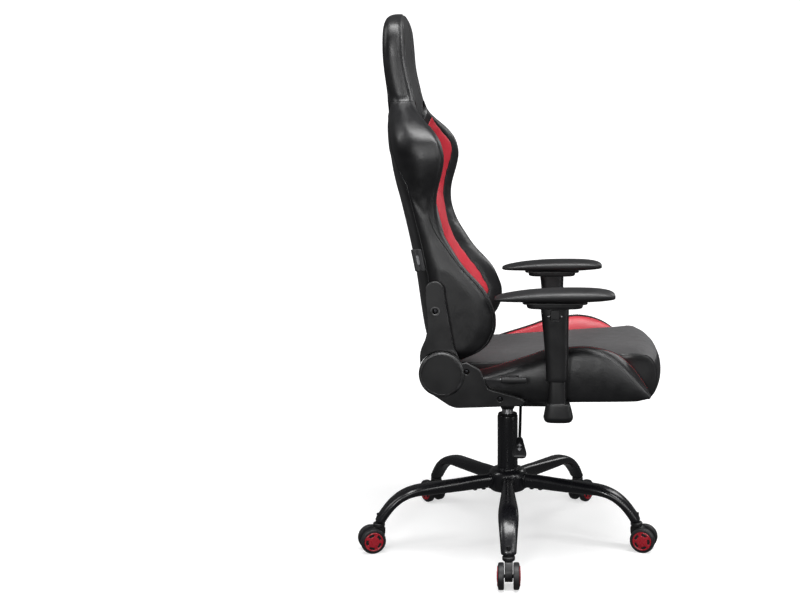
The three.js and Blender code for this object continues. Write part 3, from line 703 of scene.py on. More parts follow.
def wheel(place, number, letter):
    """A tyre with a grooved wall, a dark dish, and a red cap with five bean-shaped windows."""
    body = f"caster_{number}_wheel_{letter}"
    revolve(body + "_tyre", [
        [4.4, 19], [4.4, 10.2], [24, 10.2], [28.2, 10.5], [29.6, 11.6], [WHEEL_R, 13.6], [WHEEL_R, 20],
        [29.6, 21.8], [28.4, 23.0], [27.4, 23.5], [27.1, 23.0], [26.6, 23.0], [26.3, 23.8], [24.0, 24.1],
        [23.5, 23.6], [23.2, 21.2], [8, 21.6], [4.4, 21.8],
    ], place, "tread", body, body, sides=72, sharp=25)
    radii = [2.2, 7.6, 11.0, 12.6, 13.4, 16.4, 19.2, 19.9, 20.5, 21.6, 22.6, 22.9]
    heights = [26.7, 26.7, 26.4, 26.1, 26.0, 25.5, 25.1, 25.1, 25.6, 25.7, 25.0, 23.6]
    window_rows, window_turns = (4, 5), (2, 3, 4, 5)
    turns = [-36, -27, -21.5, -11, 0, 11, 21.5, 27]
    angles = [math.radians(72 * k + t) for k in range(5) for t in turns]
    count = len(angles)
    points = [Vector((r * math.cos(a), r * math.sin(a), z)) for r, z in zip(radii, heights) for a in angles]
    faces = [tuple(range(count))]
    for k in range(len(radii) - 1):
        for i in range(count):
            if k in window_rows and i % len(turns) in window_turns:
                continue
            j = (i + 1) % count
            faces.append((k * count + i, (k + 1) * count + i, (k + 1) * count + j, k * count + j))
    cap = fix_normals(piece(body + "_cap", [place @ p for p in points], faces, "cap", body, sharp=60))
    thickened(cap, 1.6)
    subdivided(cap, 2)


MIDDLE = at(0, 0, 0)
revolve("base_hub_shell", [
    [25.4, 121], [38, 121], [42, 122.2], [44.8, 125], [46.4, 129], [HUB_R, 134], [HUB_R, 156], [46.4, 161.5],
    [44.6, 166.4], [41.6, 170.4], [37.6, 173.4], [33, 174.8], [30, 175], [25.4, 175],
], MIDDLE, "paint", "base", "base_hub", sides=96)
revolve("column_weld", [[25.2, 175], [28.2, 175], [27.5, 176.5], [25.2, 177.7]], MIDDLE, "paint", "base",
        sides=64)
for i in range(LEGS):
    arm = Matrix.Rotation(BASE_TURN + i * 2 * math.pi / LEGS, 4, "Z")
    leg(arm, i + 1)
    caster(arm @ at(SWIVEL_R, 0, 0), i + 1)

# ------------------------------------------------------------------ gas column
revolve("column_outer_tube", [
    [5, 117], [22.5, 117], [24.2, 117.8], [25, 119.5], [25, 305.5], [24.6, 307.8], [23.8, 309.3], [22.6, 310],
    [21.6, 309.6], [21.6, 123.2], [5, 123.2],
], MIDDLE, "paint", "base", "column_tube", sides=96)
revolve("column_guide_bush", [
    [14.5, 215], [21.5, 215], [21.5, 310.3], [23.6, 310.3], [23.6, 312], [22.8, 313.2], [16, 313.4],
    [14.5, 312.6],
], MIDDLE, "nylon", "base", "guide_bush", sides=72)
revolve("gas_spring_cylinder", [
    [5.6, 132], [12.6, 132], [14, 133.6], [14, 355.6], [13.2, 357], [4.5, 357], [4.5, 350], [0, 350],
], MIDDLE, "piston", "mechanism", "gas_cylinder", sides=72)
revolve("piston_rod_turned", [
    [0, 123.4], [14.4, 123.4], [15, 124], [15, 127.2], [5, 127.4], [5, 292], [11.5, 292], [11.5, 300],
    [0, 300],
], MIDDLE, "steel", "piston", "piston_rod", sides=48)
revolve("gas_release_button", [[0, 355.5], [4.1, 355.5], [4.1, 363], [3.2, 364], [0, 364]], MIDDLE, "steel",
        "release_pin", "gas_release_pin", sides=24)

# ------------------------------------------------------------------ tilt mechanism
KNOB_X = 122
KNOB_LOW = 290
TILT = (30, 0, 372)
LEVER_X = 33

softened("mechanism_pressing", "mechanism_housing", "satin", "mechanism", 1.2)
softened("seat_plate_pressing", "seat_plate", "satin", "seat", 0.8)
softened("tilt_lock_slide_bar", "tilt_lock_bolt", "steel", "tilt_lock", 0.5)
revolve("socket_cone", [[14.7, 325], [16, 325.2], [16.6, 326], [20.4, 347.8], [14.7, 347.8]], MIDDLE, "satin",
        "mechanism", sides=64)
across = at(*TILT, tilt_x=QUARTER)
revolve("tilt_pivot_bolt", [[0, -80], [5.6, -80], [6.1, -79.4], [6.1, 79.4], [5.6, 80], [0, 80]], across,
        "steel", "mechanism", "tilt_pivot_pin", sides=32)
for side, name in SIDES:
    revolve(f"tilt_pivot_nut_{name}", [[6.3, 75.8], [10.5, 75.8], [10.5, 79.2], [9.4, 80], [6.3, 80]],
            at(*TILT, tilt_x=-side * QUARTER), "steel", "mechanism", sides=6, sharp=20)


def tension_knob():
    """A fluted knob under the front of the mechanism, hollowed for its spring."""
    rows = [(0.0, 5.5), (0.55, 5.5), (0.86, 5.0), (0.97, 6.2), (1.0, 9.0), (1.0, 26.0), (0.97, 28.6),
            (0.86, 30.0), (0.68, 30.0), (0.665, 9.2), (0.19, 9.2)]
    count = 96
    points = []
    for share, z in rows:
        for a in circle(count):
            flute = 1 - 0.09 * max(0.0, math.cos(8 * a)) ** 4 * min(1.0, max(0.0, (share - 0.8) / 0.15))
            r = max(0.05, 24 * share * flute)
            points.append((KNOB_X + r * math.cos(a), r * math.sin(a), KNOB_LOW + z))
    fix_normals(piece("tension_knob_fluted", points, ring_faces(len(rows), count), "nylon", "tension_knob",
                      "tension_knob", sharp=40))


def tension_coil():
    """The spring in the knob, on a mesh of its own."""
    low, high, turns, steps = 301.3, 343.7, 4, 96
    path = []
    for i in range(steps + 1):
        a = 2 * math.pi * turns * i / steps
        path.append((KNOB_X + 11.5 * math.cos(a), 11.5 * math.sin(a), low + (high - low) * i / steps))
    coil = sweep("tension_coil", path, 1.8, "steel", "mechanism", "tension_spring", sides=10)
    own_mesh(coil)


tension_knob()
tension_coil()

# The lever: a bent rod with a flat flared paddle, marked with a plain raise-and-lower arrow.
ROD_TOP = 368.8
sweep("height_lever_bent_rod", curve_through([
    (0, 14, ROD_TOP), (0, -4, ROD_TOP - 0.4), (10, -22, ROD_TOP - 1.8), (26, -40, 362), (LEVER_X, -62, 356.5),
    (LEVER_X, -84, 350), (LEVER_X, -150, 329), (LEVER_X, -214, 308),
], 6), 3.5, "satin", "height_lever", "height_lever_rod", sides=16)
PADDLE = at(LEVER_X, -215, 307.6, tilt_x=math.radians(15))


def lever_paddle():
    """Rounded sections along the paddle, which gets wider, then ends in a blunt lip."""
    stations = [(0, 5.6, 3.8), (3, 7.2, 4.2), (20, 9.4, 4.1), (45, 13.2, 4.0), (64, 16.4, 3.9),
                (74, 16.2, 3.9), (81, 14.0, 3.6), (84, 11.5, 2.8)]
    rings = []
    for reach, half, thick in stations:
        ring = oval_ring((0, -reach, 0), (1, 0, 0), (0, 0, 1), half, thick, 32, 4.0)
        rings.append([PADDLE @ p for p in ring])
    loft("height_lever_moulded_paddle", rings, "nylon", "height_lever", "height_lever_paddle", smooth=2,
         sharp=70)
    for face in (1, -1):
        marks = []
        for tip, way in ((30, -1), (62, 1)):
            z = 4.05
            base = tip - way * 9
            stem = tip - way * 13.5
            arrow = [(-5.2, base), (0, tip), (5.2, base), (1.9, base), (1.9, stem), (-1.9, stem),
                     (-1.9, base)]
            points = [Vector((x, -y, face * z + dz)) for dz in (0.0, face * 0.35) for x, y in arrow]
            n = len(arrow)
            faces = [tuple(range(n)), tuple(range(2 * n - 1, n - 1, -1))]
            faces += [(i, (i + 1) % n, n + (i + 1) % n, n + i) for i in range(n)]
            mark = piece(f"mark_{face}_{tip}", [PADDLE @ p for p in points], faces, "label_mark",
                         "height_lever", sharp=20)
            marks.append(fix_normals(mark))
        joined("paddle_arrows_upper" if face > 0 else "paddle_arrows_under", marks)


lever_paddle()

# ------------------------------------------------------------------ recliner
PIVOT_X = -139
PIVOT_Z = 468
DISC_R = 51
COVER_IN = 262.3
COVER_OUT = 273
ARM_IN = 256.5
SEAT_SCREWS = [(-84, 473), (-10, 412)]
BACK_SCREW_X, BACK_SCREW_Z = -152, 608
GRIP_Y, GRIP_Z = -283, 458


def beside(x, z, side, y=0.0):
    """A place on the chair's side, its local Z pointing outwards."""
    return at(x, side * y, z, tilt_x=-side * QUARTER)


def curve_points(points, step):
    """A flat curve through (x, z) points, as more such points."""
    return [(p.x, p.y) for p in curve_through([(a, b, 0) for a, b in points], step)]


def lower_bracket(side, name):
    """The seat half of a recliner cover, with its foot and two screws."""
    outline = [
        *arc(PIVOT_X, PIVOT_Z, DISC_R, 28, 245, 40),
        *curve_points([(-124, 397), (-108, 391.5), (-86, 391.8), (-62, 392.5)], 6), (30, 396.4), (40, 398.5),
        (44.4, 403), (43.4, 408.6), (36, 413), (20, 419), (-30, 432), (-37, 436), (-41, 443), (-52, 473),
        (-57, 479), (-84, 494),
    ]
    cover = plate(f"lower_cover_{name}", outline, COVER_IN, COVER_OUT, "cover", "seat",
                  f"recliner_lower_bracket_{name}", holes=[(x, z, 5.5) for x, z in SEAT_SCREWS], edge=1.8,
                  side=side)
    foot = plate(f"lower_foot_{name}", [(-58, 395), (36, 398), (36, 408), (-58, 410)], ARM_IN, COVER_IN + 1,
                 "cover", "seat", edge=0.5, side=side)
    joined(f"recliner_seat_cover_{name}", [cover, foot])
    for k, (x, z) in enumerate(SEAT_SCREWS):
        hex_screw(f"seat_cover_screw_{name}_{k + 1}", beside(x, z, side, 266.5), 4.6, "seat")


def upper_bracket(side, name):
    """The backrest half of a recliner cover, with its arm, spacer and screw."""
    outline = [
        *arc(PIVOT_X, PIVOT_Z, DISC_R + 0.8, 158, 44, 28),
        *curve_points([(-106, 515), (-112, 527), (-116, 550), (-124, 596), (-131, 640), (-132.5, 652)], 5),
        *arc(-153, 654, 20.6, 4, 176, 22),
        *curve_points([(-173.6, 650), (-172.5, 622), (-170, 590), (-170.4, 568), (-174, 548), (-184, 524),
                       (-187, 508), (-186.5, 498)], 5),
    ]
    cover = plate(f"upper_cover_{name}", outline, COVER_IN - 0.6, COVER_OUT, "cover", "backrest",
                  f"recliner_upper_bracket_{name}", holes=[(BACK_SCREW_X, BACK_SCREW_Z, 6.4)],
                  edge=1.8, side=side)
    screw_axis = beside(BACK_SCREW_X, BACK_SCREW_Z, side)
    arm = plate(f"upper_arm_{name}", [
        *arc(PIVOT_X, PIVOT_Z, 38, -150, 0, 24), (-104, 500), (-122, 560), (-136, 650), (-166, 650),
        (-162, 572), (-172, 520),
    ], ARM_IN, COVER_IN - 0.9, "cover", "backrest", edge=0.5, side=side)
    spacer = revolve(f"upper_spacer_{name}", [[0, 250.6], [9, 250.6], [9, 257.5], [0, 257.5]],
                     screw_axis, "cover", "backrest", sides=32)
    joined(f"recliner_back_cover_{name}", [cover, arm, spacer])
    hex_screw(f"back_cover_screw_{name}", beside(BACK_SCREW_X, BACK_SCREW_Z, side, 265.5), 5.4, "backrest")
    revolve(f"back_cover_dish_{name}", [
        [6.2, 272.0], [9.6, 272.9], [10.4, 273.35], [9.4, 273.6], [6.6, 272.9], [6.1, 272.4],
    ], screw_axis, "cover", "backrest", sides=40)


def pivot_disc(side, name):
    """The round cap over a recliner's hinge."""
    revolve(f"pivot_cap_{name}", [
        [0, 273.3], [48.8, 273.3], [50.2, 274.4], [50.2, 277.2], [49.4, 279.6], [47.4, 281.4], [44.8, 282],
        [43.8, 281.9], [43.2, 281.4], [42.6, 281.8], [41.8, 281.8], [39, 281.8], [20, 281.8], [0, 281.8],
    ], beside(PIVOT_X, PIVOT_Z, side), "cover", "seat", f"pivot_disc_{name}", sides=96, sharp=25)


for side, name in SIDES:
    lower_bracket(side, name)
    upper_bracket(side, name)
    pivot_disc(side, name)
revolve("sync_rod_turned", [[0, -268], [5.5, -268], [6.1, -267.4], [6.1, 267.4], [5.5, 268], [0, 268]],
        at(PIVOT_X, 0, PIVOT_Z, tilt_x=QUARTER), "steel", "recline_release", "recliner_sync_rod",
        sides=32)
softened("recline_lever_blade", "recline_lever", "satin", "recline_release", 0.7)
GRIP = [(-8.5, 4.4, 4.6), (-7.6, 5.9, 6.2), (-5, 6.7, 7.2), (4, 6.8, 7.4), (22, 6.7, 7.2), (38, 6.8, 7.3),
        (45, 6.8, 7.4), (48, 6.0, 6.4), (49, 4.6, 4.8)]
loft("recline_grip_sleeve", [
    oval_ring((x, GRIP_Y, GRIP_Z), (0, 1, 0), (0, 0, 1), a, b, 32, 2.6) for x, a, b in GRIP
], "pad", "recline_release", "recline_lever_grip", smooth=1, sharp=70)
hex_screw("recline_grip_screw", at(-8.4, GRIP_Y, GRIP_Z, tilt_y=-QUARTER), 3.0, "recline_release",
          "steel")

# ------------------------------------------------------------------ armrests
ARM_Y = 274
ARM_X = 116.5
BOOT_X = 119
HEAD_X = 110
POST_HALF = (19.5, 14)
LOW, WELL_TOP = 455, 611


def column(stations, side, power=3.2):
    """Rounded rectangular rings from (height, centre x, half x, half y) stations."""
    return [oval_ring((x, side * ARM_Y, z), (1, 0, 0), (0, 1, 0), a, b, 56, power)
            for z, x, a, b in stations]


def carved(obj, cutters):
    """The object with other closed meshes cut out of it."""
    for cutter in cutters:
        modifier(obj, "cut", "BOOLEAN", operation="DIFFERENCE", solver="EXACT", object=cutter)
    mesh = evaluated_mesh(obj)
    obj.modifiers.clear()
    obj.data = mesh
    for cutter in cutters:
        bpy.data.objects.remove(cutter)
    obj.data.set_sharp_from_angle(angle=math.radians(38))
    return obj


def block(name, x, z, near, far, side, body, radius):
    """A block with rounded corners in X and Z, used as a cutter or a button on the sleeve's outer face."""
    corners = [(x[0], z[0]), (x[1], z[0]), (x[1], z[1]), (x[0], z[1])]
    return plate(name, rounded(corners, radius, 6), ARM_Y + near, ARM_Y + far, "arm", body, edge=0.6,
                 side=side)


def armrest(side, name):
    """Boot and post on the seat; sleeve, head, button, rivets and pad on the sliding body."""
    body = f"armrest_{name}"
    loft(f"armrest_boot_{name}", column([
        (362.4, BOOT_X, 14, 7), (361.6, BOOT_X, 20, 11), (362.2, BOOT_X, 26, 14.4),
        (364.4, BOOT_X, 29.6, 16.8), (368, BOOT_X, 31.6, 18.6), (371.6, BOOT_X, 32.9, 19.9),
        (374, BOOT_X, 33, 20), (376.6, BOOT_X, 32.6, 19.9), (389, 118.8, 30, 18.8), (401, 118, 27.4, 17.6),
        (403, 118, 26.8, 17.3), (404.2, 117.6, 25.4, 16.6), (404.4, ARM_X + 0.4, 20.5, 14.8),
        (405.4, ARM_X, 19.5, 14), (563, ARM_X, 19.5, 14), (565, ARM_X, 18.4, 13),
    ], side), "arm", "seat", f"armrest_post_{name}", sharp=30)
    inner = (POST_HALF[0] + 0.7, POST_HALF[1] + 0.7)
    shell = loft(f"sleeve_shell_{name}", column([
        (WELL_TOP, ARM_X, *inner), (500, ARM_X, *inner), (LOW + 0.8, ARM_X, *inner),
        (LOW, ARM_X, inner[0] + 0.6, inner[1] + 0.6), (LOW, ARM_X - 1, 21.9, 17.4),
        (LOW + 0.8, ARM_X - 1, 23, 18.5), (LOW + 2.6, ARM_X - 1, 23.6, 19.1), (466, ARM_X - 1.1, 23.9, 19.3),
        (500, 115, 25, 20), (540, 113.6, 26.8, 21.6), (575, 112, 28.5, 23), (600, 110.8, 30, 24.2),
        (617.5, HEAD_X, 31.2, 25),
    ], side), "arm", body, f"armrest_sleeve_{name}", sharp=32)
    head = loft(f"sleeve_head_{name}", column([
        (616.4, HEAD_X, 30, 19), (616.8, HEAD_X, 55, 20), (617.8, HEAD_X, 59, 21.2), (620, HEAD_X, 61, 22),
        (626, HEAD_X, 62, 22), (627, HEAD_X, 62, 22),
    ], side, power=3.6), "arm", body, sharp=28)
    flange = loft(f"sleeve_flange_{name}", column([
        (626.6, 110.5, 69.6, 25), (627.4, 110.5, 71, 26), (630.4, 110.5, 71, 26), (631, 110.5, 70.4, 25.4),
    ], side, power=3.8), "arm", body, sharp=28)
    carved(shell, [block(f"pocket_{name}", (99.6, 121.4), (590, 616.5), 17, 40, side, body, 6)])
    joined(f"armrest_sleeve_shell_{name}", [shell, head, flange])
    button = block(f"armrest_release_button_{name}", (100.6, 120.4), (595.6, 614.9), 19.4, 23.6, side,
                   f"armrest_button_{name}", 5.4)
    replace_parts(button, f"armrest_button_{name}")
    for k, x in enumerate((96.4, 124.6)):
        revolve(f"armrest_rivet_{name}_{k + 1}", [[0, -2], [2.1, -2], [2.1, 0.2], [1.5, 0.8], [0, 1.0]],
                beside(x, 602, side, ARM_Y + 23.6), "steel", body, sides=20)
    loft(f"armrest_bar_{name}", [
        oval_ring((BOOT_X, side * y, 390.15), (1, 0, 0), (0, 0, 1), 19, 4.05, 40, 7.0)
        for y in (92, 92.6, 254, 254.5)
    ], "satin", "seat", f"armrest_bracket_{name}", sharp=30)
    pad(side, name, body)


# Along X: the underside's height, the top's height and the half width.
PAD = [
    (-21.4, 637.6, 638.6, 14), (-21, 636.4, 640, 22), (-19, 635.0, 641.8, 28.5), (-14, 633.6, 644, 34),
    (-4, 633, 647, 38.4), (12, 632.6, 650.3, 41.4), (38, 632.2, 654.6, 43.6), (70, 632, 658, 45),
    (105, 631.6, 660.2, 45.8), (140, 631.4, 661, 46), (175, 632.2, 661, 45.4), (200, 633.6, 660, 43.6),
    (216, 635, 658.3, 41), (228, 636.2, 656, 37.4), (236, 637.4, 653, 32.4), (240.4, 638.8, 649.6, 26),
    (241.6, 641, 647, 17),
]


def pad(side, name, body):
    """The moulded soft pad: a crowned top over a thinner skirt, with a parting line between them."""
    count = 48
    rings = []
    for x, low, high, half in PAD:
        ring = []
        part = low + (high - low) * 0.42
        for t in circle(count, 0.5):
            y = bowed(math.cos(t), 3.2) * half
            rise = bowed(math.sin(t), 2.3)
            z = part + rise * ((high - part) if rise > 0 else (part - low))
            if abs(rise) < 0.14:
                y *= 1 - 0.9 / half
            if rise < -0.14:
                y *= 1 - 1.4 / half
            ring.append((x, side * ARM_Y + y, max(z, 631.3)))
        rings.append(ring)
    skin = loft(f"armrest_soft_pad_{name}", rings, "pad", body, f"armrest_pad_{name}", smooth=1, sharp=75)


for side, name in SIDES:
    armrest(side, name)

# ------------------------------------------------------------------ upholstery tools
SIM_FRAMES = 20      # how many frames the sewn cloth is blown up for


def closed_spline(points, per):
    """A dense loop through the points, per steps from each to the next, without overshoot."""
    p = np.asarray(points, float)
    ahead = np.roll(p, -1, 0) - p
    d = np.maximum(np.linalg.norm(ahead, axis=1), 1e-6)[:, None]
    back, db = np.roll(ahead, 1, 0), np.roll(d, 1, 0)
    slope = (back / db * d + ahead / d * db) / (d + db)
    t = (np.arange(per) / per)[None, :, None]
    p0, p1 = p[:, None], np.roll(p, -1, 0)[:, None]
    m0, m1 = (slope * d)[:, None], (np.roll(slope, -1, 0) * d)[:, None]
    out = (2 * t ** 3 - 3 * t ** 2 + 1) * p0 + (t ** 3 - 2 * t ** 2 + t) * m0
    out = out + (3 * t ** 2 - 2 * t ** 3) * p1 + (t ** 3 - t ** 2) * m1
    return out.reshape(-1, p.shape[1])


def resample(line, counts, marks):
    """Points along a dense line, with marks (indices into it) kept, and a count of steps between marks."""
    step = np.linalg.norm(np.diff(line, axis=0), axis=1)
    reach = np.concatenate([[0], np.cumsum(step)])
    out = []
    for k, count in enumerate(counts):
        a, b = reach[marks[k]], reach[marks[k + 1]]
        for s in np.linspace(a, b, count, endpoint=False):
            out.append([np.interp(s, reach, line[:, c]) for c in range(line.shape[1])])
    out.append(list(line[marks[-1]]))
    return out


class Skin:
    """A closed stuffed form made of rings of points, so a seam is a line of known rows and columns."""

    def __init__(self, name, rings):
        self.rows, self.count = len(rings), len(rings[0])
        points = [world(*p) for ring in rings for p in ring]
        self.obj = fix_normals(mesh_object(name, points, ring_faces(self.rows, self.count)))

    def index(self, row, column):
        return row * self.count + column % self.count

    def coords(self):
        return np.array([v.co for v in self.obj.data.vertices])

    def write(self, coords):
        self.obj.data.vertices.foreach_set("co", coords.astype(np.float32).ravel())
        self.obj.data.update()

    def normals(self):
        return np.array([v.normal for v in self.obj.data.vertices])

    def press(self, wanted, depth):
        """Draws seam vertices into the stuffing, each by its share of the depth."""
        co, no = self.coords(), self.normals()
        for i, share in (wanted.items() if isinstance(wanted, dict) else ((i, 1.0) for i in wanted)):
            co[i] -= no[i] * depth * share * MM
        self.write(co)

    def puff(self, pinned, reach, pressure, limits):
        """Blows the form up as sewn cloth with its seams held, by up to reach millimetres."""
        rest = self.coords()
        group = self.obj.vertex_groups.new(name="seams")
        for i, hold in (pinned.items() if isinstance(pinned, dict) else ((i, 1.0) for i in pinned)):
            group.add([int(i)], hold, "REPLACE")
        cloth = self.obj.modifiers.new("cloth", "CLOTH")
        settings = cloth.settings
        settings.quality = 6
        settings.mass = 0.35
        settings.tension_stiffness = settings.compression_stiffness = 12
        settings.shear_stiffness = 6
        settings.bending_stiffness = 1.2
        settings.use_pressure = True
        settings.uniform_pressure_force = pressure
        settings.vertex_group_mass = "seams"
        settings.effector_weights.gravity = 0
        cloth.collision_settings.use_collision = False
        cloth.point_cache.frame_start = 1
        cloth.point_cache.frame_end = SIM_FRAMES
        for number in range(1, SIM_FRAMES + 1):
            SCENE.frame_set(number)
        graph = bpy.context.evaluated_depsgraph_get()
        blown = self.obj.evaluated_get(graph).to_mesh()
        new = np.array([v.co for v in blown.vertices])
        self.obj.evaluated_get(graph).to_mesh_clear()
        self.obj.modifiers.clear()
        self.obj.vertex_groups.clear()
        SCENE.frame_set(1)
        shift = new - rest
        far = np.linalg.norm(shift, axis=1)
        scale = reach * MM * np.tanh(far / (reach * MM)) / np.maximum(far, 1e-9)
        new = rest + shift * scale[:, None]
        self.write(limits(new, rest))

    def finish(self, finish, body, replaced, fill):
        """Smooths the form once and dresses it."""
        for polygon in self.obj.data.polygons:
            polygon.use_smooth = True
        subdivided(self.obj, 1)
        mesh = evaluated_mesh(self.obj)
        self.fine = np.array([v.co for v in mesh.vertices])
        self.fine_normals = np.array([v.normal for v in mesh.vertices])
        self.base = self.obj.data
        self.obj.modifiers.clear()
        self.obj.data = mesh
        dress(self.obj, finish, body, replaced, sharp=75)

    def along(self, indices, lift=0.0):
        """Points in chair millimetres over the finished form, at the given vertices of its first mesh."""
        co, no = self.fine[indices], self.fine_normals[indices]
        line = (co + no * lift * MM - np.array(ORIGIN)) / MM
        return [Vector(p) for p in line]

    def overlay(self, name, rows, columns, finish, body, replaced=(), lift=0.7, thick=1.4):
        """A sewn panel lying on the form over a range of rows and columns."""
        co = np.array([v.co for v in self.base.vertices])
        no = np.array([v.normal for v in self.base.vertices])
        grid = [[self.index(r, c) for c in columns] for r in rows]
        points = [Vector(co[i] + no[i] * lift * MM) for line in grid for i in line]
        wide = len(columns)
        faces = []
        for r in range(len(rows) - 1):
            for c in range(wide - 1):
                a = r * wide + c
                faces.append((a, a + 1, a + wide + 1, a + wide))
        obj = mesh_object(name, points, faces)
        side = np.array(obj.data.polygons[len(faces) // 2].normal) @ no[grid[len(rows) // 2][wide // 2]]
        if side < 0:
            obj.data.flip_normals()
        thickened(obj, thick)
        subdivided(obj, 1)
        dress(obj, finish, body, replaced, sharp=75)


def seam_lines(paths):
    """All vertex indices of several seams."""
    return sorted({i for path in paths for i in path})


def piping(name, skin, path, body, r, lift, fades=False):
    """A welt cord sewn into a seam. One that fades sinks into the cover at its upper end."""
    line = curve_through(skin.along(path, lift), 4)
    taper = (lambda t: eased((1 - t) * 6) + 0.05) if fades else None
    sweep(name, line, r, "leather", body, sides=10, taper=taper)


STITCH_PITCH, STITCH_LENGTH, STITCH_R = 5.2, 3.4, 0.42


def stitches(name, skin, path, body, aside, finish="thread"):
    """A row of short raised stitches beside a seam."""
    fine = curve_through(skin.along(path), 1.3)
    tree = surface_tree(skin)
    reach = 0.0
    points, faces = [], []
    next_at = STITCH_PITCH
    for a, b, c in zip(fine, fine[1:], fine[2:]):
        reach += (b - a).length
        if reach < next_at:
            continue
        next_at += STITCH_PITCH
        along = (c - a).normalized()
        spot, normal = on_surface(tree, b)
        side = along.cross(normal).normalized() * aside
        spot, normal = on_surface(tree, spot + side)
        across = along.cross(normal).normalized()
        start = len(points)
        shape = [(-0.5, 0.3), (-0.36, 1.0), (0.0, 1.25), (0.36, 1.0), (0.5, 0.3)]
        for share, size in shape:
            centre = spot + along * share * STITCH_LENGTH + normal * (STITCH_R * (size - 0.75))
            for k in range(6):
                t = math.pi * k / 3
                points.append(centre + (across * math.cos(t) + normal * math.sin(t)) * STITCH_R * size)
        for ring in range(4):
            for k in range(6):
                i, j = start + ring * 6 + k, start + ring * 6 + (k + 1) % 6
                faces.append((i, j, j + 6, i + 6))
        faces.append(tuple(start + k for k in range(5, -1, -1)))
        faces.append(tuple(start + 24 + k for k in range(6)))
    piece(name, points, faces, finish, body, sharp=80)


def surface_tree(skin):
    """The finished form, ready for nearest-point and ray tests."""
    if not hasattr(skin, "tree"):
        mesh = skin.obj.data
        skin.tree = BVHTree.FromPolygons([v.co for v in mesh.vertices],
                                         [tuple(p.vertices) for p in mesh.polygons])
    return skin.tree


def on_surface(tree, point):
    """The nearest point of a finished form and its normal, in chair millimetres."""
    spot, normal, *_ = tree.find_nearest(world(*point))
    return (spot - ORIGIN) / MM, normal


# ------------------------------------------------------------------ backrest
BACK_LOW, BACK_TOP = 490, 1266
NECK_SEAM = 1066
BELT_Y, BELT_Z = 96, 1046
BELT_HALF = (36, 21)
BELT_TURN = math.radians(24)
RECLINER_TOP = 690
RECLINER_GAP = 0.2525     # half the gap between the two recliners, in metres

back_rear = smooth([
    (490, -180), (540, -192), (592, -200), (690, -213), (762, -227), (834, -243), (894, -257), (953, -265),
    (1047, -272.5), (1093, -279), (1140, -284), (1186, -285.5), (1225, -284), (1248, -278), (1260, -268),
    (1266, -256),
])
back_half = smooth([
    (490, 238), (510, 248), (530, 250), (690, 250), (770, 247), (850, 250), (910, 262), (950, 266),
    (985, 258), (1015, 230), (1042, 184), (1066, 153.5), (1090, 148.5), (1130, 147.5), (1190, 147),
    (1226, 137), (1246, 115), (1258, 84), (1264, 50), (1266, 26),
])
panel_front = smooth([
    (490, -109.5), (530, -103.5), (580, -112), (640, -132), (716, -158), (775, -172), (836, -188),
    (895, -207), (935, -210), (1026, -208), (1060, -209), (1100, -219.5), (1150, -230), (1200, -234),
    (1235, -236.5), (1256, -240.5), (1266, -244),
])
wing_front = smooth([
    (490, -98), (507, -63), (524, -40), (541, -29), (562, -21), (582, -20), (602, -23), (642, -40),
    (666, -58), (702, -91), (740, -116.5), (775, -137), (813, -149.5), (857, -150), (909, -136.5),
    (938, -131.5), (961, -134.5), (981, -141.5), (1004, -158.5), (1024, -180), (1045, -200), (1070, -209.5),
    (1100, -220.5), (1150, -231), (1200, -235), (1235, -237.5), (1256, -241.5), (1266, -245),
])
rear_turn = smooth([(490, 23), (900, 21), (960, 16), (1050, 11), (1100, 10), (1150, 8), (1230, 7), (1266, 2)])
# How far the side seam runs behind the wing's front edge, and how far the rear seam moves round to the back.
seam_behind = smooth([
    (490, 6), (600, 4), (700, 5), (752, 9), (785, 13), (834, 16), (900, 18), (960, 16), (1070, 9),
])
rear_inside = smooth([(490, 0), (850, 0), (890, 6), (940, 14), (1010, 20), (1066, 26), (1264, 26)])
red_outer = smooth([
    (490, 152), (556, 152), (564, 166), (575, 181), (590, 187), (628, 185), (663, 180), (702, 176),
    (736, 170), (771, 171), (802, 178), (840, 182), (868, 191), (906, 205), (936, 214), (958, 217),
    (975, 211), (1000, 185), (1020, 163), (1033, 149), (1060, 112), (1080, 90), (1110, 74), (1230, 66),
    (1256, 34), (1264, 12),
])
red_inner = smooth([
    (490, 150), (556, 150), (564, 141), (575, 134), (600, 130), (716, 127), (835, 129), (935, 134),
    (985, 133), (1010, 140), (1033, 147), (1060, 110), (1080, 88), (1110, 72), (1230, 64), (1256, 32),
    (1264, 10),
])
BACK_STEPS = (24, 15, 7, 8, 9, 12)


def eased(t):
    """A soft step from 0 to 1."""
    t = min(1.0, max(0.0, t))
    return t * t * (3 - 2 * t)


def rear_at(y, z):
    """Where the rear of the backrest lies, curved forwards to both sides."""
    t = min(1.1, abs(y) / (0.8 * back_half(z)))
    return back_rear(z) + rear_turn(z) * t * t


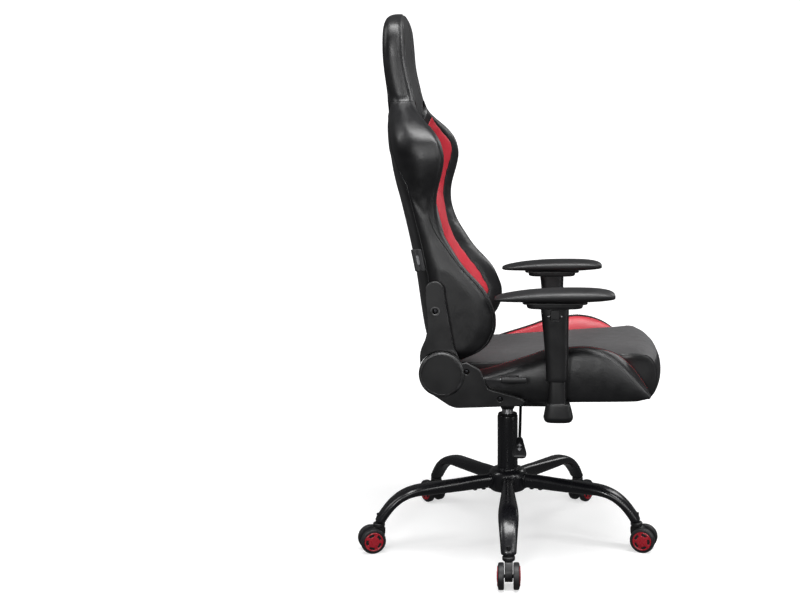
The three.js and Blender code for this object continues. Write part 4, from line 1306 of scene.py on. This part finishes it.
def back_ring(z):
    """One level of the backrest, from the rear middle round the left side to the front and back."""
    w = back_half(z)
    side = rear_at(0.85 * w, z)
    panel = panel_front(z)
    wing = max(wing_front(z), panel + 2)
    high, deep = wing - panel, wing - side
    rolled = eased((z - 1046) / 60)
    soft = eased((z - 850) / 70)
    r = deep / 2
    turned = (0.82 - 0.06 * soft) * w
    half = [
        (rear_at(0, z), 0), (rear_at(0.45 * w, z), 0.45 * w), (rear_at(turned, z), turned),
        (side + min(12 + 6 * soft, deep * 0.2), (0.97 - 0.03 * soft) * w),
        (side + min(32 + 16 * soft, deep * 0.45), w), (wing - min(30, deep * 0.35), w),
        (wing - min(5, deep * 0.1), w - 8), (wing, w - 24), (wing - high * 0.15, w - 46),
        (panel + high * 0.2, w * 0.6), (panel, w * 0.48), (panel, 0),
    ]
    turns = ((3, 157), (4, 122), (5, 82), (6, 52), (7, 26), (8, 6))
    for k, degrees in turns:
        a = math.radians(degrees)
        x, y = wing - r + r * math.cos(a), w - r * 0.94 + r * 0.94 * math.sin(a) ** 0.7
        half[k] = (half[k][0] * (1 - rolled) + x * rolled, half[k][1] * (1 - rolled) + y * rolled)
    whole = half + [(x, -y) for x, y in half[-2:0:-1]]
    per = 16
    line = closed_spline(whole, per)[:11 * per + 1]
    edge = 7 * per
    seam = edge - 1
    while seam > 4 * per and line[seam, 0] > wing - seam_behind(z):
        seam -= 1
    outer = edge + 3
    while outer < 10 * per + 6 and line[outer, 1] > red_outer(z):
        outer += 1
    inner = outer + 1
    while inner < 11 * per - 2 and line[inner, 1] > red_inner(z):
        inner += 1
    marks = [0, 3 * per + 4 - round(rear_inside(z)), seam, edge, outer, inner, 11 * per]
    left = resample(line, BACK_STEPS, marks)
    right = [(x, -y) for x, y in left[-2:0:-1]]
    return [(x, y, z) for x, y in [*left, *right]]


def scaled_ring(ring, scale, z):
    """A ring drawn in towards its own middle, at another height."""
    cx = sum(p[0] for p in ring) / len(ring)
    return [(cx + (x - cx) * scale, y * scale, z) for x, y, _ in ring]


def backrest():
    """The stuffed backrest in one form, and the vertex rows of its seams, left then right."""
    levels = [BACK_LOW, 494, 499, 505] + list(np.arange(512, 1224, 7))
    levels += [1228, 1235, 1241, 1247, 1252.5, 1257, 1261, 1264, BACK_TOP]
    rings = [back_ring(z) for z in levels]
    closing = ((0.06, 6.5), (0.35, 6.5), (0.62, 6.2), (0.82, 5.4), (0.93, 3.4), (0.98, 1.2))
    below = [scaled_ring(rings[0], scale, BACK_LOW - d) for scale, d in closing]
    closing = ((0.8, 0.4), (0.5, 0.6), (0.2, 0.7), (0.04, 0.7))
    above = [scaled_ring(rings[-1], scale, BACK_TOP + d) for scale, d in closing]
    skin = Skin("back_upholstery", below + rings + above)
    heights = [BACK_LOW - 2] * len(below) + levels + [BACK_TOP + 0.5] * len(above)
    n = skin.count
    rear, seam, tip, outer, inner = (int(e) for e in np.cumsum(BACK_STEPS)[:5])
    rows = range(len(below), len(below) + len(rings))

    def column(c, low, high):
        return [[skin.index(r, k) for r in rows if low <= heights[r] <= high] for k in (c, n - c)]

    def row_near(z):
        return min(rows, key=lambda r: abs(heights[r] - z))

    def fading(paths, start, end):
        """Seam vertices held fully up to one height and not at all from another."""
        return {i: 1 - eased((heights[i // n] - start) / (end - start)) for path in paths for i in path}

    rear_seams = column(rear, 495, 935)
    wing_seams = column(seam, 500, 862)
    outer_seams = column(outer, 566, 1031)
    inner_seams = column(inner, 500, 1031)
    neck_row = row_near(NECK_SEAM)
    neck = [[skin.index(neck_row, side * c) for c in range(rear, tip + 1)] for side in (1, -1)]
    cross_rows = (row_near(577), row_near(985))
    cross = [[skin.index(r, c) for c in range(inner, n - inner + 1)] for r in cross_rows]
    head_seams = column(outer, 1064, 1250)
    fading_seams = {**fading(rear_seams, 790, 935), **fading(wing_seams, 720, 862)}
    skin.press(fading_seams, 1.5)
    skin.press(neck[0] + neck[1], 0.8)
    held = seam_lines(outer_seams + inner_seams + cross + head_seams)
    skin.press(held, 1.2)
    pinned = {i: 1.0 for i in held}
    pinned.update(fading_seams)
    pinned.update({skin.index(r, c): 0.7 for r in rows if heights[r] > NECK_SEAM + 8 for c in range(n)
                   if skin.index(r, c) not in pinned})
    pinned.update({skin.index(r, c): 1.0 for r in range(len(below)) for c in range(n)})

    def limits(new, rest):
        """Keeps the part between the two recliners narrower than the gap between them."""
        y = new[:, 1] - AXIS_Y
        between = rest[:, 2] < RECLINER_TOP * MM
        new[:, 1] = np.where(between, np.clip(y, -RECLINER_GAP, RECLINER_GAP), y) + AXIS_Y
        return new

    skin.puff(pinned, 3.6, 4.0, limits)
    skin.finish("leather", "backrest", ("back_cushion", "back_frame"), 0.85)
    return skin, heights, dict(rear=rear, outer=outer, inner=inner), cross_rows, dict(
        rear=rear_seams, wing=wing_seams, outer=outer_seams, inner=inner_seams, neck=neck, cross=cross,
        head=head_seams)


back, back_heights, col, cross_rows, seams = backrest()
n = back.count


def rows_between(low, high):
    return [r for r, z in enumerate(back_heights) if low <= z <= high]


for k, (side, name) in enumerate(SIDES):
    cols = [side * c % n for c in range(col["outer"], col["inner"] + 1)]
    back.overlay(f"back_red_band_{name}", rows_between(560, 1034), cols, "red", "backrest")
    piping(f"back_wing_piping_{name}", back, seams["wing"][k], "backrest", 1.5, 0.2, fades=True)
    stitches(f"back_wing_stitches_{name}", back, seams["wing"][k], "backrest", -side * 5)
    stitches(f"back_band_stitches_outer_{name}", back, seams["outer"][k], "backrest", side * 3.6)
    stitches(f"back_band_stitches_inner_{name}", back, seams["inner"][k], "backrest", -side * 3.6)
    piping(f"back_rear_piping_{name}", back, seams["rear"][k], "backrest", 1.4, 0.2, fades=True)
    piping(f"head_front_piping_{name}", back, seams["head"][k], "backrest", 1.1, 0.2)
    piping(f"back_neck_seam_{name}", back, seams["neck"][k], "backrest", 0.8, 0.1)
    stitches(f"back_neck_stitches_{name}", back, seams["neck"][k], "backrest", -4 * side)

back.overlay("back_centre_panel", range(cross_rows[0], cross_rows[1] + 1),
             range(col["inner"], n - col["inner"] + 1), "seat", "backrest")
for k, path in enumerate(seams["cross"]):
    piping(f"back_cross_seam_{k + 1}", back, path, "backrest", 1.2, 0.6)
back.overlay("back_rear_panel", rows_between(498, 1250), range(-col["rear"], col["rear"] + 1), "leather",
             "backrest", "back_rear_cover", lift=0.9)


def belt_opening(side, name):
    """The eyelet beside the neck: a lined hole with a moulded lip front and rear."""
    loop = []
    turn = side * BELT_TURN
    for a in circle(72):
        u, v = BELT_HALF[0] * math.cos(a), BELT_HALF[1] * math.sin(a)
        loop.append((side * BELT_Y + u * math.cos(turn) - v * math.sin(turn),
                     BELT_Z + u * math.sin(turn) + v * math.cos(turn)))
    tree = surface_tree(back)

    def hits(start_x, way):
        """Where the form is met along X over the loop, from in front or from behind."""
        rays = [tree.ray_cast(world(start_x, y, z), Vector((way, 0, 0)))[0] for y, z in loop]
        return [((hit - ORIGIN) / MM).x for hit in rays]

    front, rear = hits(400, -1), hits(-500, 1)

    def ring(xs, scale, shift):
        return [(x + shift, side * BELT_Y + (y - side * BELT_Y) * scale, BELT_Z + (z - BELT_Z) * scale)
                for x, (y, z) in zip(xs, loop)]

    plug = [ring([x + 40 for x in front], 1.0, 0), ring([x - 40 for x in rear], 1.0, 0)]
    for target in (back.obj, bpy.data.objects["back_rear_panel"]):
        carved(target, [loft(f"belt_cut_{name}", plug, "nylon", "backrest")])
    lip = ((1.0, -1), (1.06, -0.8), (1.07, -0.1), (1.04, 0.6), (0.98, 0.7), (0.95, -0.2), (0.945, -3))
    rows = [ring(front, scale, shift) for scale, shift in lip]
    lip = ((0.945, 3), (0.95, 0.3), (0.98, -0.7), (1.04, -0.6), (1.07, 0.1), (1.06, 0.8), (1.0, 1))
    rows += [ring(rear, scale, shift) for scale, shift in lip]
    loft(f"belt_eyelet_{name}", rows, "nylon", "backrest", closed=True, sharp=70)


for side, name in SIDES:
    belt_opening(side, name)


def seam_tag():
    """A plain folded cloth tag sewn into the right rear seam, with one bare light stripe."""
    path = [p for p in back.along(seams["rear"][1], 0.5) if 690 <= p.z <= 746]
    lines = []
    for share in np.linspace(0, 1, 9):
        reach = 23.5 * share - 0.5
        line = []
        for k, p in enumerate(path):
            wave = 1.2 * math.sin(share * 2.6 + k * 0.5)
            fold = 2.6 * abs(math.sin(share * 2 * math.pi))
            line.append((p.x - 3 - reach, p.y - 1.5 - fold - 0.3 * wave, p.z - 1.5 * share))
        lines.append(line)

    def cloth(name, first, last, low, high, finish, lift, thick):
        grid = [line[low:high] for line in lines[first:last]]
        wide = len(grid[0])
        points = [(x, y - lift, z) for line in grid for x, y, z in line]
        faces = [(r * wide + c, r * wide + c + 1, (r + 1) * wide + c + 1, (r + 1) * wide + c)
                 for r in range(len(grid) - 1) for c in range(wide - 1)]
        obj = piece(name, points, faces, finish, "backrest", sharp=80)
        thickened(obj, thick)
        subdivided(obj, 1)

    cloth("seam_tag", 0, 9, 0, len(path), "label", 0, 0.8)
    third = len(path) // 3
    cloth("seam_tag_stripe", 3, 6, third, len(path) - 2, "label_mark", 0.7, 0.3)


seam_tag()

# ------------------------------------------------------------------ seat
PAN_TOP = 403
STAPLE_Z = (394.6, 393.9)
CENTRE_HALF = 177
FRONT_SEAM_Z = 483
SIDE_HALF = 250
SEAM_LOW = 404.5      # seams of the sitting cushion stop at this height


def seat_centre():
    """The sitting cushion: one side outline carried across the seat, its front curved in at both ends."""
    outline = [
        (-124, 405), (-124, 440), (-123, 462), (-112, 476), (-80, 479), (-35, 480.5), (40, 485), (100, 489.5),
        (155, 493.5), (210, 497.5), (250, 500), (290, 502.5), (324, 502.5), (345.5, 497), (357, 483.5),
        (362.5, 464), (364, 441), (360, 418), (350, 400), (337, 394), (322, 395), (308, 403.8), (240, 403.8),
        (120, 403.8), (0, 403.8), (-80, 403.8), (-116, 403.8),
    ]
    line = closed_spline(outline, 8)
    line = np.vstack([line, line[:1]])
    reach = np.concatenate([[0], np.cumsum(np.linalg.norm(np.diff(line, axis=0), axis=1))])
    count = 150
    spots = np.linspace(0, reach[-1], count, endpoint=False)
    outline = [tuple(float(np.interp(s, reach, line[:, axis])) for axis in (0, 1)) for s in spots]

    def ring(t, scale=1.0, out=0.0):
        points = []
        for x, z in outline:
            half = CENTRE_HALF + 13 * eased((x - 272) / 54)
            fore = min(1.0, max(0.0, (x - 235) / 110))
            bend = 1 - 0.052 * fore * fore * abs(t) ** 2.8
            y = math.copysign(half + out, t) if abs(t) >= 1 else t * half
            if z > 470:
                z -= 4.5 * abs(t) ** 5
            points.append((120 + (x * bend - 120) * scale, y, 448 + (z - 448) * scale))
        return points

    across = [0.0, 0.08, 0.16, 0.24, 0.32, 0.4, 0.48, 0.56, 0.64, 0.72, 0.8, 0.87, 0.93, 0.97, 0.992]
    ends = [(1.0, -0.4), (0.985, 0.8)] + [(scale, 1.2) for scale in (0.94, 0.86, 0.7, 0.5, 0.3, 0.1, 0.01)]
    rings = [ring(-1, scale, out) for scale, out in reversed(ends)]
    rings += [ring(-t) for t in reversed(across[1:])] + [ring(t) for t in across]
    rings += [ring(1, scale, out) for scale, out in ends]
    skin = Skin("seat_centre_cushion", rings)
    first, last = len(ends) - 1, len(rings) - len(ends)
    top = [i for i, (x, z) in enumerate(outline) if z > SEAM_LOW]
    edge_rows = (first, last)
    edges = [[skin.index(r, i) for i in top] for r in edge_rows]
    turn = min((i for i, (x, z) in enumerate(outline) if x > 300),
               key=lambda i: abs(outline[i][1] - FRONT_SEAM_Z))
    edges.append([skin.index(r, turn) for r in range(first, last + 1)])
    skin.press(seam_lines(edges), 1.2)
    under = [skin.index(r, i) for r in range(skin.rows) for i, (x, z) in enumerate(outline) if z <= SEAM_LOW]
    end_rows = [*range(first - 1), *range(last + 2, skin.rows)]
    inner_ends = [skin.index(r, i) for r in end_rows for i in range(count)]

    def limits(new, rest):
        """Keeps the cushion between its bolsters and off the board."""
        x = (rest[:, 0] - AXIS_X) / MM
        y = new[:, 1] - AXIS_Y
        edge = np.interp(x, [270, 322], [0.1792, 0.1935])
        new[:, 1] = np.clip(y, -edge, edge) + AXIS_Y
        new[:, 2] = np.maximum(new[:, 2], rest[:, 2] - 0.001)
        return new

    skin.puff(seam_lines(edges) + under + inner_ends, 4.5, 3.5, limits)
    skin.finish("seat", "seat", "seat_cushion", 0.8)
    return skin, edges[2], edge_rows, outline, turn


seat, front_seam, edge_rows, seat_outline, front_turn = seat_centre()
front_end = max(i for i, (x, z) in enumerate(seat_outline) if x > 330)
seat.overlay("seat_front_panel", range(edge_rows[0], edge_rows[1] + 1), range(front_turn, front_end + 1),
             "leather", "seat", lift=0.4, thick=0.9)
piping("seat_front_seam", seat, front_seam, "seat", 0.9, 0.3)
for k, (side, name) in enumerate(((-1, "right"), (1, "left"))):
    front = [i for i, (x, z) in enumerate(seat_outline) if z > SEAM_LOW and x > -110]
    path = [seat.index(edge_rows[k], i) for i in front]
    piping(f"seat_centre_piping_{name}", seat, path, "seat", 1.4, 0.4)
    stitches(f"seat_centre_stitches_{name}", seat, path, "seat", -4.5 * side)
    inner_rows = range(0, edge_rows[0] + 1) if side < 0 else range(edge_rows[1], seat.rows)
    seat.overlay(f"seat_gusset_{name}", inner_rows, range(len(seat_outline) + 1), "leather", "seat", lift=0.5,
                 thick=1.0)

bolster_ridge = smooth([
    (-122, 456), (-80, 462), (-40, 468), (-5, 479), (30, 490), (60, 500), (90, 511), (140, 519.5), (175, 523),
    (205, 520), (230, 513), (252, 502.5), (274, 485), (294, 463), (312, 438), (328, 413),
])
bolster_under = smooth([(-122, 404), (48, 404), (62, 397), (150, 398), (280, 400), (305, 403), (328, 409)])
bolster_spread = smooth([
    (-122, 0.4), (60, 0.45), (110, 0.6), (150, 0.95), (210, 0.95), (240, 0.7), (262, 0.55), (322, 0.45),
])
bolster_wall = smooth([(-122, 20), (60, 20), (110, 12), (150, 3), (210, 3), (250, 16), (322, 22)])
BOLSTER_STEPS = (9, 9, 5, 12, 10)


def bolster_ring(x, side, scale=1.0):
    """One section of a seat bolster, round from its inner foot over the ridge to the outer side."""
    top = bolster_ridge(x)
    low = max(bolster_under(x), PAN_TOP + 0.6 - (6 if x > 55 else 0))
    inner = CENTRE_HALF + 2.5
    k = bolster_spread(x)
    lip = max(low + 1, min(top - bolster_wall(x), 478))
    base = PAN_TOP + 0.6
    ridge = inner + 42 * k
    deep = top - low
    section = [
        (inner, base), (inner, (base + lip) / 2), (inner + 0.5, lip - 3),
        (inner + 10 * k, lip + (top - lip) * 0.4), (inner + 22 * k, lip + (top - lip) * 0.83),
        (inner + 33 * k, top - 2), (ridge, top), (ridge + (SIDE_HALF - ridge) * 0.5, top - 3.5 - deep * 0.02),
        (SIDE_HALF - (SIDE_HALF - ridge) * 0.14, top - deep * 0.17), (SIDE_HALF - 0.8, top - deep * 0.36),
        (SIDE_HALF, top - deep * 0.6), (SIDE_HALF - 0.8, low + deep * 0.12), (SIDE_HALF - 3, low + 2),
        (SIDE_HALF - 9, low), (236, low), (230, base), (205, base),
    ]
    per = 12
    line = closed_spline(section, per)
    line = np.vstack([line, line[:1]])
    marks = [0, 2 * per, 5 * per + 6, 8 * per, 12 * per, 17 * per]
    loop = resample(line, BOLSTER_STEPS, marks)[:-1]
    mid_y, mid_z = (inner + SIDE_HALF) / 2, (top + low) / 2
    return [(x, side * (mid_y + (y - mid_y) * scale), mid_z + (z - mid_z) * scale) for y, z in loop]


def seat_bolster(side, name):
    """A stuffed side bolster with its red inner face, cord and stitches."""
    low, high = -122, 323.6
    stations = [low, -119, -114] + list(np.arange(-107, 300, 7))
    stations += [304, 309, 313.5, 317.5, 320.5, 322.5, high]
    closing = ((0.05, 3.4), (0.4, 3.4), (0.7, 3.2), (0.88, 2.4), (0.97, 0.9))
    rear = [bolster_ring(low - d, side, scale) for scale, d in closing]
    front = []
    for scale, d in ((0.96, 0.9), (0.88, 1.8), (0.7, 2.4), (0.4, 2.6), (0.05, 2.6)):
        front.append([(x + d, y, z) for x, y, z in bolster_ring(high, side, scale)])
    rings = rear + [bolster_ring(x, side) for x in stations] + front
    skin = Skin(f"seat_bolster_{name}_pad", rings)
    rows = list(range(len(rear), len(rear) + len(stations)))
    crease, ridge, outer, bottom = (int(e) for e in np.cumsum(BOLSTER_STEPS)[:4])
    lines = {c: [skin.index(r, c) for r in rows[1:-1]] for c in (crease, ridge, outer, bottom)}
    skin.press(lines[ridge], 1.2)
    skin.press(lines[outer], 0.8)
    pinned = seam_lines(lines.values())
    pinned += [skin.index(r, c) for r in rows for c in range(bottom, skin.count)]
    pinned += [skin.index(r, c) for r in rows for c in range(0, crease)]
    pinned += [skin.index(r, c) for r in range(len(rear) - 2) for c in range(skin.count)]

    def limits(new, rest):
        """Keeps the bolster off the cushion, the recliner and the armrest."""
        y = (new[:, 1] - AXIS_Y) * side
        x = (rest[:, 0] - AXIS_X) / MM
        far = np.where(x < 75, RECLINER_GAP, np.where(x < 160, 0.2535, 0.256))
        new[:, 1] = side * np.clip(y, 0.1795, far) + AXIS_Y
        return new

    skin.puff(pinned, 6.0, 4.0, limits)
    skin.finish("leather", "seat", f"seat_bolster_{name}", 0.85)
    red_rows = [r for r, x in zip(rows, stations) if x <= 292]
    skin.overlay(f"seat_bolster_inner_{name}", red_rows, range(crease - 2, ridge), "red", "seat", lift=0.5)
    piping(f"bolster_ridge_piping_{name}", skin, lines[ridge], "seat", 1.2, 0.3)
    stitches(f"bolster_side_stitches_{name}", skin, lines[outer], "seat", 4.5 * side)
    stitches(f"bolster_red_stitches_{name}", skin, lines[ridge], "seat", -9 * side, "red_thread")


for side, name in SIDES:
    seat_bolster(side, name)


def seat_board():
    """The cloth-covered board under the cushions, with staples round its underside."""
    softened("seat_pan_board", "seat_pan", "lining", "seat", 1.0)
    points, faces = [], []
    spots = [(x, s * 231, 0) for x in range(-112, 40, 16) for s in (-1, 1)]
    spots += [(x, s * 172, 0) for x in range(60, 300, 16) for s in (-1, 1)]
    spots += [(-119, y, 1) for y in range(-220, 221, 20)] + [(300, y, 1) for y in range(-160, 161, 20)]
    for x, y, turned in spots:
        dx, dy = (0.7, 5) if turned else (5, 0.7)
        start = len(points)
        points += [(x + sx * dx, y + sy * dy, z) for z in STAPLE_Z
                   for sx, sy in ((-1, -1), (1, -1), (1, 1), (-1, 1))]
        quads = [(0, 1, 2, 3), (7, 6, 5, 4), (0, 4, 5, 1), (1, 5, 6, 2), (2, 6, 7, 3), (3, 7, 4, 0)]
        faces += [tuple(start + i for i in quad) for quad in quads]
    piece("seat_board_staples", points, faces, "steel", "seat", sharp=20)


seat_board()

# ------------------------------------------------------------------ floor, light and camera
CAMERA_AT = Vector((0.0708, -2.825, 1.0209))
CAMERA_TURN = math.radians(1.4)
CAMERA_DOWN = math.radians(8.609)
LENS = 53.19
SHIFT_X = -0.1354


def studio():
    """A round white sweep for floor and backdrop, a dim surround, and soft boxes."""
    profile = [(0, 0), (0.5, 0), (1.0, 0), (1.5, 0), (2.2, 0), (3.0, 0)]
    profile += [(3.0 + 1.6 * math.sin(a), 1.6 - 1.6 * math.cos(a)) for a in np.linspace(0.1, math.pi / 2, 12)]
    profile += [(4.6, 3.0), (4.6, 6.0)]
    count = 96
    points = [(r * math.cos(2 * math.pi * k / count), r * math.sin(2 * math.pi * k / count), z)
              for r, z in profile[1:] for k in range(count)] + [(0, 0, 0)]
    faces = ring_faces(len(profile) - 1, count)[:-2]
    faces += [(len(points) - 1, (k + 1) % count, k) for k in range(count)]
    floor = mesh_object("pale_sweep", points, faces)
    floor.data.polygons.foreach_set("use_smooth", [True] * len(faces))
    floor.location = ORIGIN
    pale = Nodes("pale_sweep")
    apart = pale.add("ShaderNodeVectorMath", operation="LENGTH")
    pale.link(pale.coords, apart.inputs[0])
    glow = pale.ramp(apart.outputs["Value"], 0.55, 1.0, 0.6, 2.8)
    pale.link(glow, pale.shader.inputs["Emission Strength"])
    pale.set(Base_Color=(0.6, 0.6, 0.6, 1), Roughness=1.0, Specular_IOR_Level=0.0)
    pale.shader.inputs["Emission Color"].default_value = (1, 1, 1, 1)
    floor.data.materials.append(pale.material)
    floor.visible_diffuse = False
    floor.visible_glossy = False

    sky = bpy.data.worlds.new("studio")
    sky.use_nodes = True
    surround = sky.node_tree.nodes["Background"]
    surround.inputs["Color"].default_value = (0.97, 0.98, 1.0, 1)
    surround.inputs["Strength"].default_value = 0.1
    SCENE.world = sky

    def lamp(name, spot, target, size, power):
        data = bpy.data.lights.new(name, "AREA")
        data.shape = "RECTANGLE"
        data.size, data.size_y = size
        data.energy = power
        obj = bpy.data.objects.new(name, data)
        SCENE.collection.objects.link(obj)
        obj.location = ORIGIN + Vector(spot)
        toward = ORIGIN + Vector(target) - obj.location
        obj.rotation_euler = toward.to_track_quat("-Z", "Y").to_euler()
        obj.visible_camera = False

    # Each lamp: its place and the spot it faces in metres, its size and its power.
    lamp("overhead", (0.1, -0.7, 3.1), (0, 0, 0.5), (2.0, 1.3), 96)
    lamp("shoulder", (1.5, -0.7, 2.8), (-0.2, -0.2, 1.0), (0.4, 1.4), 24)
    lamp("front_right", (2.2, -2.4, 2.1), (-0.1, 0, 0.9), (0.6, 1.6), 22)
    lamp("camera_side", (-0.68, -3.3, 1.32), (-0.2, -0.2, 1.1), (0.5, 0.75), 30)
    lamp("fill", (0.7, -3.4, 1.75), (-0.1, -0.2, 0.9), (1.3, 1.5), 22)
    lamp("edge_right", (1.35, -0.6, 0.8), (-0.1, -0.25, 0.55), (0.12, 1.2), 3)
    lamp("rear_left", (-2.6, -0.4, 2.5), (-0.1, 0, 0.8), (0.45, 1.7), 20)
    lamp("rear_right", (1.9, 2.3, 2.2), (0, 0, 0.6), (0.8, 1.4), 16)

    data = bpy.data.cameras.new("camera")
    data.lens = LENS
    data.sensor_width = 36
    data.shift_x = SHIFT_X
    camera = bpy.data.objects.new("camera", data)
    SCENE.collection.objects.link(camera)
    camera.location = ORIGIN + CAMERA_AT
    camera.rotation_euler = (math.radians(90) - CAMERA_DOWN, 0, CAMERA_TURN)
    SCENE.camera = camera
    SCENE.view_settings.view_transform = "Standard"


studio()
